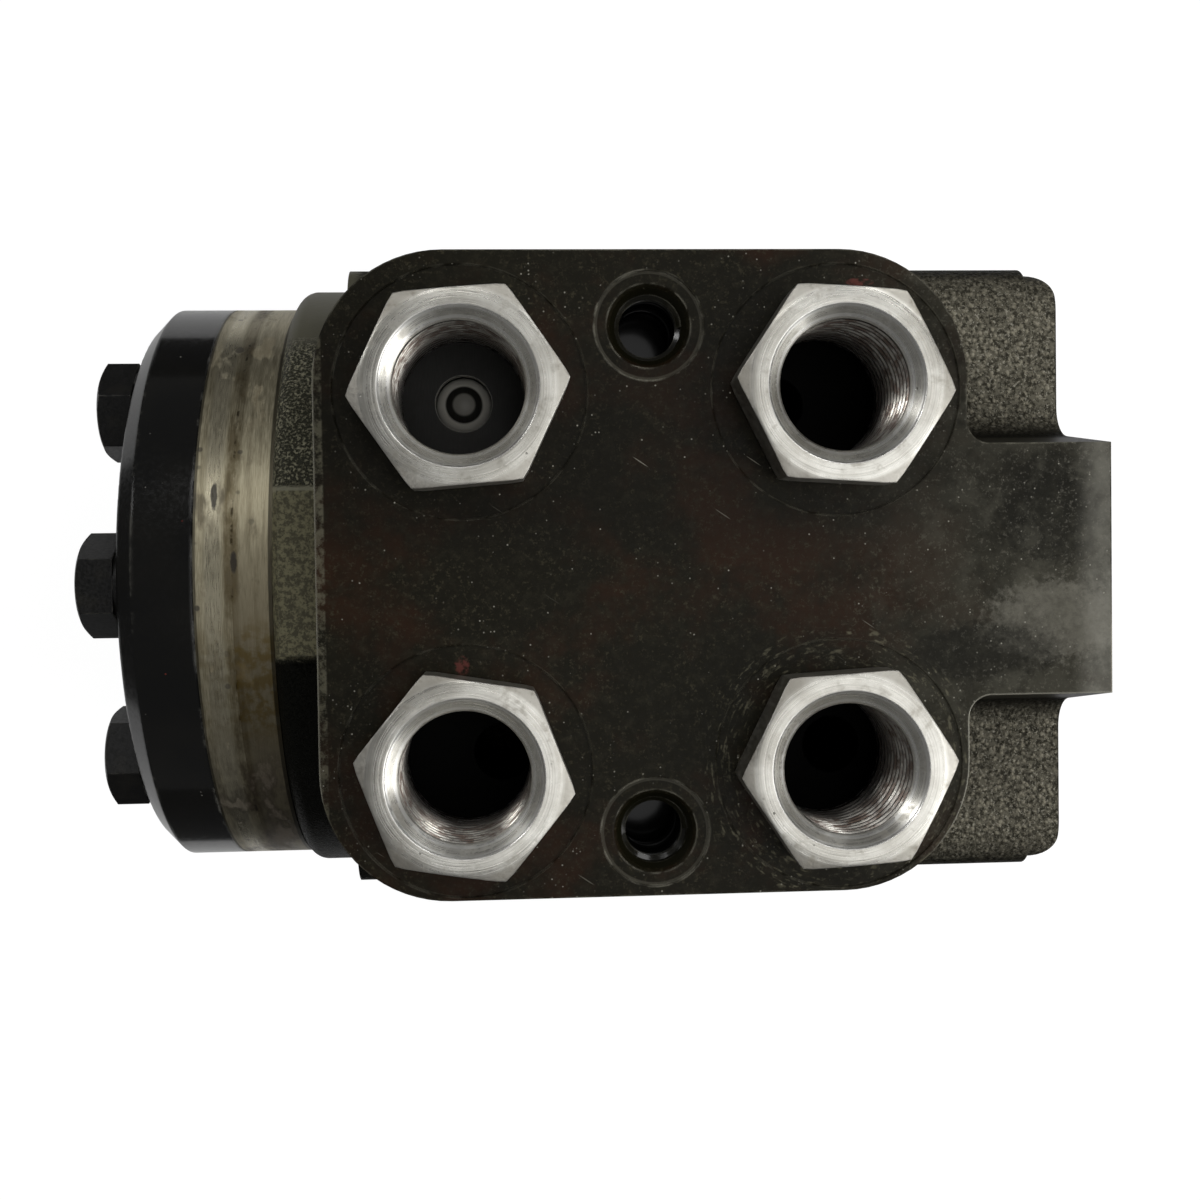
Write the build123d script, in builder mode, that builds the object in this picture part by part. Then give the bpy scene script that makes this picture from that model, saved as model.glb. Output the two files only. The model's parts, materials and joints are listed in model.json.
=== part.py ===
"""Orbital steering unit, about 40 cm3 per turn, with four hex port adapters.

Millimetres. +X runs along the shaft towards the steering column, +Z is the normal of the
port face and +Y lies across it. The origin is where the shaft axis meets the column face.
"""
from build123d import *
from math import cos, hypot, pi, radians, sin, sqrt, tan
import os

# ---------------------------------------------------------------- driving dimensions
# fits and gaps
running_fit = 0.02          # radial, sleeve in housing and spool in sleeve
seal_gap = 0.08             # seal lip over the turning spool
side_gap = 0.03             # rotor face to its neighbours
thread_gap = 0.05           # radial, external thread body in its tapped hole

# housing casting
housing_length = 110.4
port_face_height = 59.0     # shaft axis to port face
back_height = 45.0          # shaft axis to the flat back
casting_shift = 0.7         # the rough casting sits this far off the machined axis, along Y
body_width = 86.8
body_start = 10.4           # from the gear-side face to the straight body
body_end = 4.0              # from the column face to where the body is turned down
shoulder_height = 40.5
shoulder_corner = 6.0
column_width = 85.0
column_block_length = 27.0
column_back_corner = 16.0
column_end_corner = 4.0     # rounding of the block's long sides into the column face
flange_d = 92.7
flange_thickness = 12.4
flange_corner = 2.4
pad_start = 7.9             # gear-side face to the near end of the pad
pad_width = 82.4
pad_end = 19.0              # column face to the near end of the pad
pad_corner = 16.5
pad_draft = 2.0             # degrees
pad_depth = 32.0
tongue_width = 32.6
tongue_draft = 8.0          # degrees
tongue_root = 4.5           # fillet where the tongue meets the shoulders
tongue_neck = 3.0           # fillet where the tongue leaves the pad
back_foot_width = 52.0
back_foot_end = 3.0         # from the gear-side face
flange_land_width = 22.6    # raised land on the gear-side flange, under the pad
flange_land_offset = 0.9
flange_land_rise = 0.9
flange_land_start = 1.3     # from the gear-side face

# gear set, distributor plate and end cover
gear_set_d = 88.5
gear_ring_width = 5.2
distributor_width = 5.4
cover_thickness = 11.0
cover_chamfer = 2.7
cover_edge = 0.8
lobe_circle_r = 33.0        # the cover screws pass through the lobes, so this is their circle too
lobe_r = 8.5
eccentricity = 3.2
ring_lobes = 7
rotor_mesh_gap = 0.05
rotor_steps = 20            # outline points for each rotor lobe
lobe_root_relief = 0.35
metering_port_d = 5.0
metering_port_r = 27.6      # middle of each gear chamber
metering_drill_r = 23.4     # housing drillings that feed the chambers
metering_drill_depth = 14.0
metering_link_d = 4.0

# cover screws and their washers
screw_d = 8.0
screw_head_af = 13.0
screw_head_height = 5.3
screw_head_crown_d = 12.0   # flat on top of the head, inside its chamfer
screw_head_slope = 25.0     # degrees
screw_hole_gap = 0.3
screw_engagement = 14.0
screw_bottom_gap = 1.5
head_turn = [90, 83, 90, 71, 102, 95, 97]   # degrees, as tightened
washer_d = 13.2
washer_thickness = 1.0
pin_screw_index = 2         # this screw carries the pin that holds the emergency ball
pin_screw_tip_d = 4.0
pin_screw_tip = 4.0
emergency_ball_d = 6.4
emergency_ball_travel = 1.0
emergency_ball_gap = 0.1
emergency_drill_d = 4.0

# o-rings between the discs
o_ring_r = 40.6             # middle of the section
o_ring_section = 1.78
o_ring_groove_depth = 1.4
o_ring_groove_width = 2.3

# ports on the port face
port_offset = 0.75          # the ports' middle lies this far from the pad's, towards the column
port_pitch_x = 48.0
port_pitch_y = 48.0
port_thread_d = 20.4        # body of the external thread of the adapter
port_depth = 19.0
port_spot_face_d = 32.2
port_spot_face_depth = 0.3
gallery_d = 8.0
gallery_end = 6.0           # height above the shaft axis where the galleries stop
gallery_offset = {"p": -4.5, "t": 4.5, "l": -4.5, "r": 3.0}   # each port has its own ring groove
ring_groove_width = 5.0
ring_groove_d = 47.0
adapter_af = 24.0
adapter_head = 6.5          # above the port face
adapter_shank = 12.5
adapter_bore_d = 16.4
adapter_mouth_d = 19.6
adapter_edge = 0.5
adapter_tip_chamfer = 1.2
port_seal_width = 1.1
port_seal_height = 1.2
hex_turn = {"p": 4.5, "l": -3.7, "t": -9.2, "r": 3.3}   # degrees, as tightened

# holes for a valve block, and for the steering column
valve_hole_pitch = 64.6
valve_hole_tap_d = 8.5
valve_hole_mouth_d = 11.4
valve_hole_ring_d = 14.0
valve_hole_ring_depth = 0.4
valve_hole_depth = 16.0
column_hole_pitch = 58.4
column_hole_tap_d = 8.5
column_hole_mouth_d = 9.4
column_hole_depth = 18.0

# spool set
bore_d = 38.0
spool_d = 28.0
spool_bore_d = 20.8
spool_recess = 3.0          # column face to the end of the spool
spool_set_gap = 0.3         # from the gear-side face of the housing to the spool set
spline_teeth = 12
spline_minor_d = 17.5
spline_major_d = 20.8
spline_space = 2.5
spline_length = 14.0
spline_lead_in = 1.0
spool_slot_width = 4.0
spool_slot_depth = 1.4
spool_slot_length = 16.0
spool_slot_count = 6
sleeve_port_d = 4.0
sleeve_port_count = 4
free_play_angle = 8.0       # degrees that the spool turns in the sleeve, each way
cross_pin_d = 8.0
cross_pin_offset = 2.0      # from the middle of the port pattern, towards the gear set
cross_pin_end_gap = 0.2
spring_width = 11.0
spring_place = 24.0         # from the column face
spring_leaf = 0.5
spring_arch = 0.9
spring_arched_leaves = 2    # on each side of the two flat leaves
spring_leaf_gap = 0.05
spring_slot_gap = 0.1
spring_end_gap = 0.15
spring_ring_width = 13.0
spring_ring_wall = 0.6
spring_ring_depth = 0.75

# thrust bearing and seals at the column end
bearing_place = 11.5        # column face to the bearing's seat
neck_gap = 0.5
race_thickness = 1.8
needle_d = 2.0
needle_length = 3.2
needle_count = 16
needle_pocket_gap = 0.1
cage_thickness = 1.4
bearing_inner_gap = 0.3
bearing_outer_gap = 0.2
shaft_seal_width = 4.4
shaft_seal_place = 5.4
shaft_seal_d = 35.6
dust_seal_d = 37.6
dust_seal_width = 3.4
dust_seal_lip = 1.6
dust_seal_recess = 0.4

# cardan shaft
cardan_head_d = 16.4
cardan_waist_d = 11.0
cardan_head_length = 17.0
cardan_fork_overhang = 9.0  # past the cross pin
cardan_fork_gap = 0.25
cardan_fork_root_gap = 0.9  # behind the pin, so that the shaft can tilt
cardan_spline_teeth = 12
cardan_spline_root_d = 13.0
cardan_spline_tip_d = 16.0
cardan_tooth = 1.7
cardan_spline_length = 8.0
cardan_spline_gap = 0.3
spacer_thickness = 1.2
cardan_end_gap = 1.6        # cardan end to the face of the end cover
cardan_room = 5.0           # from the fork to the end of the wide bore in the spool
distributor_bore_d = 24.0

# check valve at the bottom of the pressure port
check_bush_height = 6.0     # threaded part, above the floor of the port
check_bush_nose_d = 13.8
check_bush_nose = 5.6       # below the floor of the port
check_seat_bore_d = 7.6
check_seat_lip = 1.5
check_ball_d = 8.5
check_chamber_d = 10.0
check_ball_travel = 1.5
check_pin_d = 2.0
check_pin_gap = 0.05

# ---------------------------------------------------------------- places worked out from them
gear_face = -housing_length
ring_face = gear_face - distributor_width
cover_face = ring_face - gear_ring_width
cover_back = cover_face - cover_thickness
head_seat = cover_back - washer_thickness
rotor_middle = (ring_face + cover_face) / 2
spool_end = gear_face + spool_set_gap
bearing_seat = -bearing_place
cage_face = bearing_seat - race_thickness
inner_race_face = cage_face - needle_d
sleeve_end = inner_race_face - race_thickness
screw_tip = gear_face + screw_engagement
pad_length = -pad_end - pad_start - gear_face
pad_middle = -pad_end - pad_length / 2
port_centre = pad_middle + port_offset
ports = {
    "p": (port_centre - port_pitch_x / 2, port_pitch_y / 2),
    "l": (port_centre + port_pitch_x / 2, port_pitch_y / 2),
    "t": (port_centre - port_pitch_x / 2, -port_pitch_y / 2),
    "r": (port_centre + port_pitch_x / 2, -port_pitch_y / 2),
}
galleries = {name: ports[name][0] + gallery_offset[name] for name in ports}
port_floor = port_face_height - port_depth
adapter_seat = port_face_height - port_spot_face_depth
check_edge = port_floor + check_bush_height - check_seat_lip
check_ball_z = check_edge - sqrt(check_ball_d**2 - check_seat_bore_d**2) / 2 - check_ball_travel
check_pin_z = check_ball_z - check_ball_d / 2 - check_pin_d / 2
spool_start = -spool_recess
cross_pin_x = port_centre - cross_pin_offset
spool_slot_x = (galleries["p"] + galleries["t"]) / 2
room_end = cross_pin_x + cardan_fork_overhang + cardan_room
cross_pin_length = sqrt(bore_d**2 - cross_pin_d**2) - 2 * cross_pin_end_gap
spring_step = spring_leaf + spring_leaf_gap
spring_half_stack = spring_step * (1 + spring_arched_leaves) + spring_arch
spring_slot = 2 * (spring_half_stack + spring_slot_gap)
spool_play = spool_d * sin(radians(free_play_angle)) / 2
emergency_ball_x = screw_tip + pin_screw_tip + emergency_ball_travel + emergency_ball_d / 2
emergency_seat_rise = sqrt(emergency_ball_d**2 - emergency_drill_d**2) / 2
emergency_seat_x = emergency_ball_x + emergency_seat_rise + emergency_ball_gap
dust_seal_depth = dust_seal_recess + dust_seal_width
neck_r = spool_d / 2 + neck_gap
seal_lip_r = spool_d / 2 + seal_gap
shaft_seal_height = shaft_seal_d / 2 - seal_lip_r
race_inner_r = spool_d / 2 + bearing_inner_gap
race_outer_r = bore_d / 2 - bearing_outer_gap
needle_circle_r = (race_inner_r + race_outer_r) / 2
needle_x = cage_face - needle_d / 2
spring_length = bore_d - 2 * (spring_ring_depth + spring_end_gap)
metering_link_x = gear_face + metering_drill_depth - metering_link_d / 2
port_hole_r = port_thread_d / 2 + thread_gap
check_nose_r = check_bush_nose_d / 2 + thread_gap
port_seal_outer_r = port_thread_d / 2 + port_seal_width
cardan_reach = hypot(cross_pin_x - cover_face - cardan_end_gap, eccentricity)
tongue_flare = (port_face_height - shoulder_height) * tan(radians(tongue_draft))
cardan_axis_dir = Vector(cross_pin_x - rotor_middle, 0, -eccentricity)   # away from the rotor
cardan_plane = Plane(origin=(cross_pin_x, 0, 0), x_dir=(0, 1, 0), z_dir=cardan_axis_dir)
along_x = (0, 90, 0)
from_start = (Align.CENTER, Align.CENTER, Align.MIN)
from_end = (Align.CENTER, Align.CENTER, Align.MAX)
screw_step = 360 / ring_lobes

os.makedirs("parts", exist_ok=True)


def save(builder, name):
    """Label a finished piece and write it as its own STEP file."""
    builder.part.label = name
    export_step(builder.part, f"parts/{name}.step")


def outward(x, angle, radius=0.0):
    """A plane at x on the shaft, facing away from it, with the angle taken from +Z towards -Y."""
    out = Vector(0, -sin(radians(angle)), cos(radians(angle)))
    return Plane(origin=Vector(x, 0, 0) + out * radius, x_dir=(1, 0, 0), z_dir=out)


def ring_at(x):
    """A plane across the shaft whose own X points at +Z, where the first screw and lobe are."""
    return Plane(origin=(x, 0, 0), x_dir=(0, 0, 1), z_dir=(1, 0, 0))


# ---------------------------------------------------------------- housing
with BuildPart() as housing:
    # straight-sided body: flat shoulders above, a half round below
    with BuildSketch(Plane.YZ.offset(gear_face + body_start)):
        with Locations((casting_shift, 0)):
            Circle(body_width / 2)
        with Locations((casting_shift, shoulder_height / 2)):
            Rectangle(body_width, shoulder_height)
        fillet(vertices().sort_by(Axis.Y)[-2:], radius=shoulder_corner)
    extrude(amount=-body_end - body_start - gear_face)
    # squarer block behind the column face, with the tongue of the port pad on top
    with BuildSketch(Plane.YZ):
        with Locations((casting_shift, (shoulder_height - back_height) / 2)):
            Rectangle(column_width, shoulder_height + back_height)
        fillet(vertices().sort_by(Axis.Y)[:2], radius=column_back_corner)
        fillet(vertices().sort_by(Axis.Y)[-2:], radius=shoulder_corner)
        with BuildLine():
            Polyline(
                (casting_shift - tongue_width / 2, port_face_height),
                (casting_shift + tongue_width / 2, port_face_height),
                (casting_shift + tongue_width / 2 + tongue_flare, shoulder_height),
                (casting_shift - tongue_width / 2 - tongue_flare, shoulder_height),
                close=True,
            )
        make_face()
        fillet(vertices().sort_by_distance((casting_shift, shoulder_height))[:2], radius=tongue_root)
    extrude(amount=-column_block_length)
    with BuildSketch(Plane.XY.offset(-back_height)):
        for side in (1, -1):
            with Locations((0, casting_shift + side * column_width / 2)):
                Rectangle(2 * column_end_corner, 2 * column_end_corner)
            corner_y = casting_shift + side * (column_width / 2 - column_end_corner)
            with Locations((-column_end_corner, corner_y)):
                Circle(column_end_corner, mode=Mode.SUBTRACT)
                Rectangle(
                    2 * column_end_corner,
                    2 * column_end_corner,
                    align=(Align.MAX, Align.CENTER),
                    mode=Mode.SUBTRACT,
                )
    extrude(amount=back_height + shoulder_height, mode=Mode.SUBTRACT)
    # round flange that carries the gear set
    with BuildSketch(Plane.XZ.offset(-casting_shift)):
        with Locations((gear_face, 0)):
            Rectangle(flange_thickness, flange_d / 2, align=(Align.MIN, Align.MIN))
        fillet(vertices().group_by(Axis.X)[0].sort_by(Axis.Y)[-1], radius=flange_corner)
    revolve(axis=Axis((0, casting_shift, 0), (1, 0, 0)))
    # port pad with drafted walls, and the neck of its tongue
    with BuildSketch(Plane.XY.offset(port_face_height)):
        with Locations((pad_middle, casting_shift)):
            RectangleRounded(pad_length, pad_width, pad_corner)
        with Locations((0, casting_shift)):
            Rectangle(pad_end + pad_corner / 2, tongue_width, align=(Align.MAX, Align.CENTER))
        neck = vertices().sort_by_distance((-pad_end, casting_shift))[:2]
        fillet(neck, radius=tongue_neck)
    extrude(amount=-pad_depth, taper=-pad_draft)
    split(bisect_by=Plane.YZ, keep=Keep.BOTTOM)
    # raised cast land between the flange and the pad
    with BuildSketch(Plane.XY):
        with Locations((gear_face + flange_land_start, casting_shift + flange_land_offset)):
            Rectangle(flange_thickness, flange_land_width, align=(Align.MIN, Align.CENTER))
    extrude(amount=flange_d / 2 + flange_land_rise)
    # flat back that the unit can lie on
    with BuildSketch(Plane.XY.offset(-back_height)):
        with Locations((gear_face + back_foot_end, casting_shift)):
            foot_length = housing_length - back_foot_end
            Rectangle(foot_length, back_foot_width, align=(Align.MIN, Align.CENTER))
    extrude(amount=back_height / 2)
    split(bisect_by=Plane.XY.offset(-back_height), keep=Keep.TOP)

    # main bore, its ring grooves, and the neck for the seals
    with BuildSketch(Plane.XZ):
        with BuildLine():
            Polyline(
                (gear_face, 0),
                (gear_face, bore_d / 2),
                (bearing_seat, bore_d / 2),
                (bearing_seat, neck_r),
                (-shaft_seal_place - shaft_seal_width, neck_r),
                (-shaft_seal_place - shaft_seal_width, shaft_seal_d / 2),
                (-shaft_seal_place, shaft_seal_d / 2),
                (-shaft_seal_place, neck_r),
                (-dust_seal_depth, neck_r),
                (-dust_seal_depth, dust_seal_d / 2),
                (0, dust_seal_d / 2),
                (0, 0),
                close=True,
            )
        make_face()
        for groove_x in galleries.values():
            with Locations((groove_x, 0)):
                Rectangle(ring_groove_width, ring_groove_d / 2, align=(Align.CENTER, Align.MIN))
        with Locations((gear_face, o_ring_r)):
            Rectangle(o_ring_groove_depth, o_ring_groove_width, align=(Align.MIN, Align.CENTER))
    revolve(axis=Axis.X, mode=Mode.SUBTRACT)

    # ports, each with its drilled gallery to its own ring groove
    with Locations(*[(x, y, port_face_height) for x, y in ports.values()]):
        Cylinder(port_spot_face_d / 2, port_spot_face_depth, align=from_end, mode=Mode.SUBTRACT)
        Cylinder(port_hole_r, port_depth, align=from_end, mode=Mode.SUBTRACT)
    for name, (x, y) in ports.items():
        with Locations((galleries[name], y, port_floor)):
            Cylinder(gallery_d / 2, port_floor - gallery_end, align=from_end, mode=Mode.SUBTRACT)
    with Locations((*ports["p"], port_floor)):
        Cylinder(check_nose_r, check_bush_nose, align=from_end, mode=Mode.SUBTRACT)
    # tapped holes for a valve block
    valve_holes = [(port_centre, side * valve_hole_pitch / 2, port_face_height) for side in (1, -1)]
    with Locations(*valve_holes):
        Cylinder(valve_hole_ring_d / 2, valve_hole_ring_depth, align=from_end, mode=Mode.SUBTRACT)
        Cylinder(valve_hole_tap_d / 2, valve_hole_depth, align=from_end, mode=Mode.SUBTRACT)
        Cone(
            valve_hole_tap_d / 2,
            valve_hole_mouth_d / 2,
            (valve_hole_mouth_d - valve_hole_tap_d) / 2 + valve_hole_ring_depth,
            align=from_end,
            mode=Mode.SUBTRACT,
        )
    # tapped holes for the steering column
    half = column_hole_pitch / 2
    with Locations(*[(0, y, z) for y in (-half, half) for z in (-half, half)]):
        Cylinder(
            column_hole_tap_d / 2,
            column_hole_depth,
            rotation=along_x,
            align=from_end,
            mode=Mode.SUBTRACT,
        )
        Cone(
            column_hole_tap_d / 2,
            column_hole_mouth_d / 2,
            (column_hole_mouth_d - column_hole_tap_d) / 2,
            rotation=along_x,
            align=from_end,
            mode=Mode.SUBTRACT,
        )
    # tapped holes for the cover screws
    with BuildSketch(ring_at(gear_face)):
        with PolarLocations(lobe_circle_r, ring_lobes):
            Circle(screw_d / 2)
    extrude(amount=screw_engagement + screw_bottom_gap, mode=Mode.SUBTRACT)
    # drillings from the spool set to the gear chambers, half a step away from the screws
    with BuildSketch(ring_at(gear_face)):
        with PolarLocations(metering_drill_r, ring_lobes, start_angle=screw_step / 2):
            Circle(metering_port_d / 2)
    extrude(amount=metering_drill_depth, mode=Mode.SUBTRACT)
    for step in range(ring_lobes):
        with Locations(outward(metering_link_x, (step + 0.5) * screw_step)):
            Cylinder(metering_link_d / 2, metering_drill_r, align=from_start, mode=Mode.SUBTRACT)
    # chamber of the emergency ball, joined to the return groove
    pin_hole = outward(gear_face, pin_screw_index * screw_step, lobe_circle_r).origin
    with Locations(pin_hole):
        Cylinder(
            emergency_ball_d / 2 + emergency_ball_gap,
            emergency_seat_x - gear_face,
            rotation=along_x,
            align=from_start,
            mode=Mode.SUBTRACT,
        )
        Cylinder(
            emergency_drill_d / 2,
            galleries["t"] - gear_face,
            rotation=along_x,
            align=from_start,
            mode=Mode.SUBTRACT,
        )
    with Locations(outward(galleries["t"], pin_screw_index * screw_step)):
        Cylinder(emergency_drill_d / 2, lobe_circle_r, align=from_start, mode=Mode.SUBTRACT)
save(housing, "housing")


# ---------------------------------------------------------------- port adapters and their seals
def make_adapter(x, y, turn):
    """A hex adapter with a tapped bore, screwed into a port and seated on its spot face."""
    with BuildPart() as adapter:
        with BuildSketch(Plane((x, y, adapter_seat))):
            RegularPolygon(adapter_af / 2, 6, major_radius=False, rotation=turn)
        extrude(amount=adapter_head + port_spot_face_depth)
        chamfer(faces().sort_by(Axis.Z)[-1].edges(), length=adapter_edge)
        with Locations((x, y, adapter_seat)):
            Cylinder(port_thread_d / 2, adapter_shank, align=from_end)
        chamfer(faces().sort_by(Axis.Z)[0].edges(), length=adapter_tip_chamfer)
        with Locations((x, y, port_face_height + adapter_head)):
            Cylinder(
                adapter_bore_d / 2,
                adapter_head + port_spot_face_depth + adapter_shank,
                align=from_end,
                mode=Mode.SUBTRACT,
            )
            Cone(
                adapter_bore_d / 2,
                adapter_mouth_d / 2,
                (adapter_mouth_d - adapter_bore_d) / 2,
                align=from_end,
                mode=Mode.SUBTRACT,
            )
        with Locations((x, y, adapter_seat)):
            Cylinder(port_seal_outer_r, port_seal_height, align=from_start, mode=Mode.SUBTRACT)
            Cylinder(port_thread_d / 2, port_seal_height, align=from_start)
            Cylinder(adapter_bore_d / 2, port_seal_height, align=from_start, mode=Mode.SUBTRACT)
    return adapter


for name, (x, y) in ports.items():
    save(make_adapter(x, y, hex_turn[name]), f"port_adapter_{name}")

with BuildPart() as port_seals:
    with BuildSketch(Plane.XY.offset(adapter_seat)):
        with Locations(*ports.values()):
            Circle(port_seal_outer_r)
            Circle(port_thread_d / 2, mode=Mode.SUBTRACT)
    extrude(amount=port_seal_height)
save(port_seals, "port_seals")

# ---------------------------------------------------------------- check valve in the pressure port
with BuildPart() as check_valve_bush:
    with Locations((*ports["p"], port_floor)):
        Cylinder(port_thread_d / 2, check_bush_height, align=from_start)
        Cylinder(check_bush_nose_d / 2, check_bush_nose, align=from_end)
        Cylinder(check_seat_bore_d / 2, check_bush_height, align=from_start, mode=Mode.SUBTRACT)
    with Locations((*ports["p"], check_edge)):
        Cylinder(
            check_chamber_d / 2,
            check_edge - port_floor + check_bush_nose,
            align=from_end,
            mode=Mode.SUBTRACT,
        )
    with Locations((*ports["p"], check_pin_z)):
        Cylinder(
            check_pin_d / 2 + check_pin_gap,
            check_bush_nose_d,
            rotation=(90, 0, 0),
            mode=Mode.SUBTRACT,
        )
save(check_valve_bush, "check_valve_bush")

with BuildPart() as check_ball:
    with Locations((*ports["p"], check_ball_z)):
        Sphere(check_ball_d / 2)
save(check_ball, "check_ball")

with BuildPart() as check_ball_pin:
    with Locations((*ports["p"], check_pin_z)):
        Cylinder(check_pin_d / 2, check_bush_nose_d, rotation=(90, 0, 0))
save(check_ball_pin, "check_ball_pin")


# ---------------------------------------------------------------- turned rings at the column end
def make_ring(x, width, inner_r, outer_r):
    """A plain ring round the shaft, from x to x + width."""
    with BuildPart() as ring:
        with Locations((x, 0, 0)):
            Cylinder(outer_r, width, rotation=along_x, align=from_start)
            Cylinder(inner_r, width, rotation=along_x, align=from_start, mode=Mode.SUBTRACT)
    return ring


save(make_ring(cage_face, race_thickness, race_inner_r, race_outer_r), "bearing_race_outer")
save(make_ring(sleeve_end, race_thickness, race_inner_r, race_outer_r), "bearing_race_inner")

with BuildPart() as needle_cage:
    with Locations((cage_face - needle_d / 2 - cage_thickness / 2, 0, 0)):
        Cylinder(race_outer_r, cage_thickness, rotation=along_x, align=from_start)
        Cylinder(race_inner_r, cage_thickness, rotation=along_x, align=from_start, mode=Mode.SUBTRACT)
    for step in range(needle_count):
        with Locations(outward(needle_x, step * 360 / needle_count, needle_circle_r)):
            Cylinder(
                needle_d / 2 + needle_pocket_gap,
                needle_length + 2 * needle_pocket_gap,
                mode=Mode.SUBTRACT,
            )
save(needle_cage, "needle_cage")

with BuildPart() as needles:
    for step in range(needle_count):
        with Locations(outward(needle_x, step * 360 / needle_count, needle_circle_r)):
            Cylinder(needle_d / 2, needle_length)
save(needles, "needles")

# lip seal: a channel section whose inner lip runs on the spool
with BuildPart() as shaft_seal:
    with BuildSketch(Plane.XZ):
        with Locations((-shaft_seal_place, seal_lip_r)):
            Rectangle(shaft_seal_width, shaft_seal_height, align=(Align.MAX, Align.MIN))
        with Locations((-shaft_seal_place - shaft_seal_width, seal_lip_r + shaft_seal_height / 2)):
            Rectangle(
                shaft_seal_width / 2,
                shaft_seal_height / 3,
                align=(Align.MIN, Align.CENTER),
                mode=Mode.SUBTRACT,
            )
    revolve(axis=Axis.X)
save(shaft_seal, "shaft_seal")

# wiper: a ring pressed into the column face, with a slanted lip that ends near the spool
with BuildPart() as dust_seal:
    with BuildSketch(Plane.XZ):
        with BuildLine():
            Polyline(
                (-dust_seal_depth, dust_seal_d / 2),
                (-dust_seal_recess, dust_seal_d / 2),
                (-dust_seal_recess, dust_seal_d / 2 - dust_seal_lip),
                (-dust_seal_recess - dust_seal_lip, dust_seal_d / 2 - dust_seal_lip),
                (-dust_seal_recess, seal_lip_r),
                (-dust_seal_depth, seal_lip_r + dust_seal_lip / 2),
                close=True,
            )
        make_face()
    revolve(axis=Axis.X)
save(dust_seal, "dust_seal")

# ---------------------------------------------------------------- spool set
with BuildPart() as sleeve:
    with Locations((spool_end, 0, 0)):
        sleeve_length = sleeve_end - spool_end
        Cylinder(bore_d / 2 - running_fit, sleeve_length, rotation=along_x, align=from_start)
        Cylinder(
            spool_d / 2 + running_fit,
            sleeve_length,
            rotation=along_x,
            align=from_start,
            mode=Mode.SUBTRACT,
        )
    # seat of the ring that holds the springs
    with BuildSketch(Plane.XZ):
        with Locations((-spring_place, bore_d / 2)):
            Rectangle(spring_ring_width + 2 * running_fit, 2 * spring_ring_depth)
    revolve(axis=Axis.X, mode=Mode.SUBTRACT)
    # spring slot, and the hole for the cross pin
    with BuildSketch(Plane.XZ):
        with Locations((-spring_place, 0)):
            Rectangle(spring_width + 2 * spring_slot_gap, spring_slot)
    extrude(amount=bore_d, both=True, mode=Mode.SUBTRACT)
    with Locations((cross_pin_x, 0, 0)):
        Cylinder(cross_pin_d / 2, bore_d, mode=Mode.SUBTRACT)
    # ports towards each ring groove, and towards the drillings of the gear set
    for groove_x in galleries.values():
        for step in range(sleeve_port_count):
            with Locations(outward(groove_x, (step + 0.5) * 360 / sleeve_port_count)):
                Cylinder(sleeve_port_d / 2, bore_d, align=from_start, mode=Mode.SUBTRACT)
    for step in range(ring_lobes):
        with Locations(outward(metering_link_x, (step + 0.5) * screw_step)):
            Cylinder(metering_link_d / 2, bore_d, align=from_start, mode=Mode.SUBTRACT)
save(sleeve, "sleeve")

save(
    make_ring(
        -spring_place - spring_ring_width / 2,
        spring_ring_width,
        bore_d / 2 - spring_ring_depth + running_fit,
        bore_d / 2 - spring_ring_depth + running_fit + spring_ring_wall,
    ),
    "spring_retaining_ring",
)

with BuildPart() as cross_pin:
    with Locations((cross_pin_x, 0, 0)):
        Cylinder(cross_pin_d / 2 - running_fit, cross_pin_length)
save(cross_pin, "cross_pin")

with BuildPart() as centering_springs:
    with BuildSketch(Plane.YZ.offset(-spring_place)):
        for side in (1, -1):
            with Locations((0, side * spring_step / 2)):
                Rectangle(spring_length, spring_leaf)
            for leaf in range(spring_arched_leaves):
                low = spring_leaf_gap / 2 + spring_step * (leaf + 1)
                with BuildLine():
                    lower = ThreePointArc(
                        (-spring_length / 2, side * low),
                        (0, side * (low + spring_arch)),
                        (spring_length / 2, side * low),
                    )
                    upper = ThreePointArc(
                        (spring_length / 2, side * (low + spring_leaf)),
                        (0, side * (low + spring_leaf + spring_arch)),
                        (-spring_length / 2, side * (low + spring_leaf)),
                    )
                    Line(lower @ 1, upper @ 0)
                    Line(upper @ 1, lower @ 0)
                make_face()
    extrude(amount=spring_width / 2, both=True)
save(centering_springs, "centering_springs")

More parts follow.
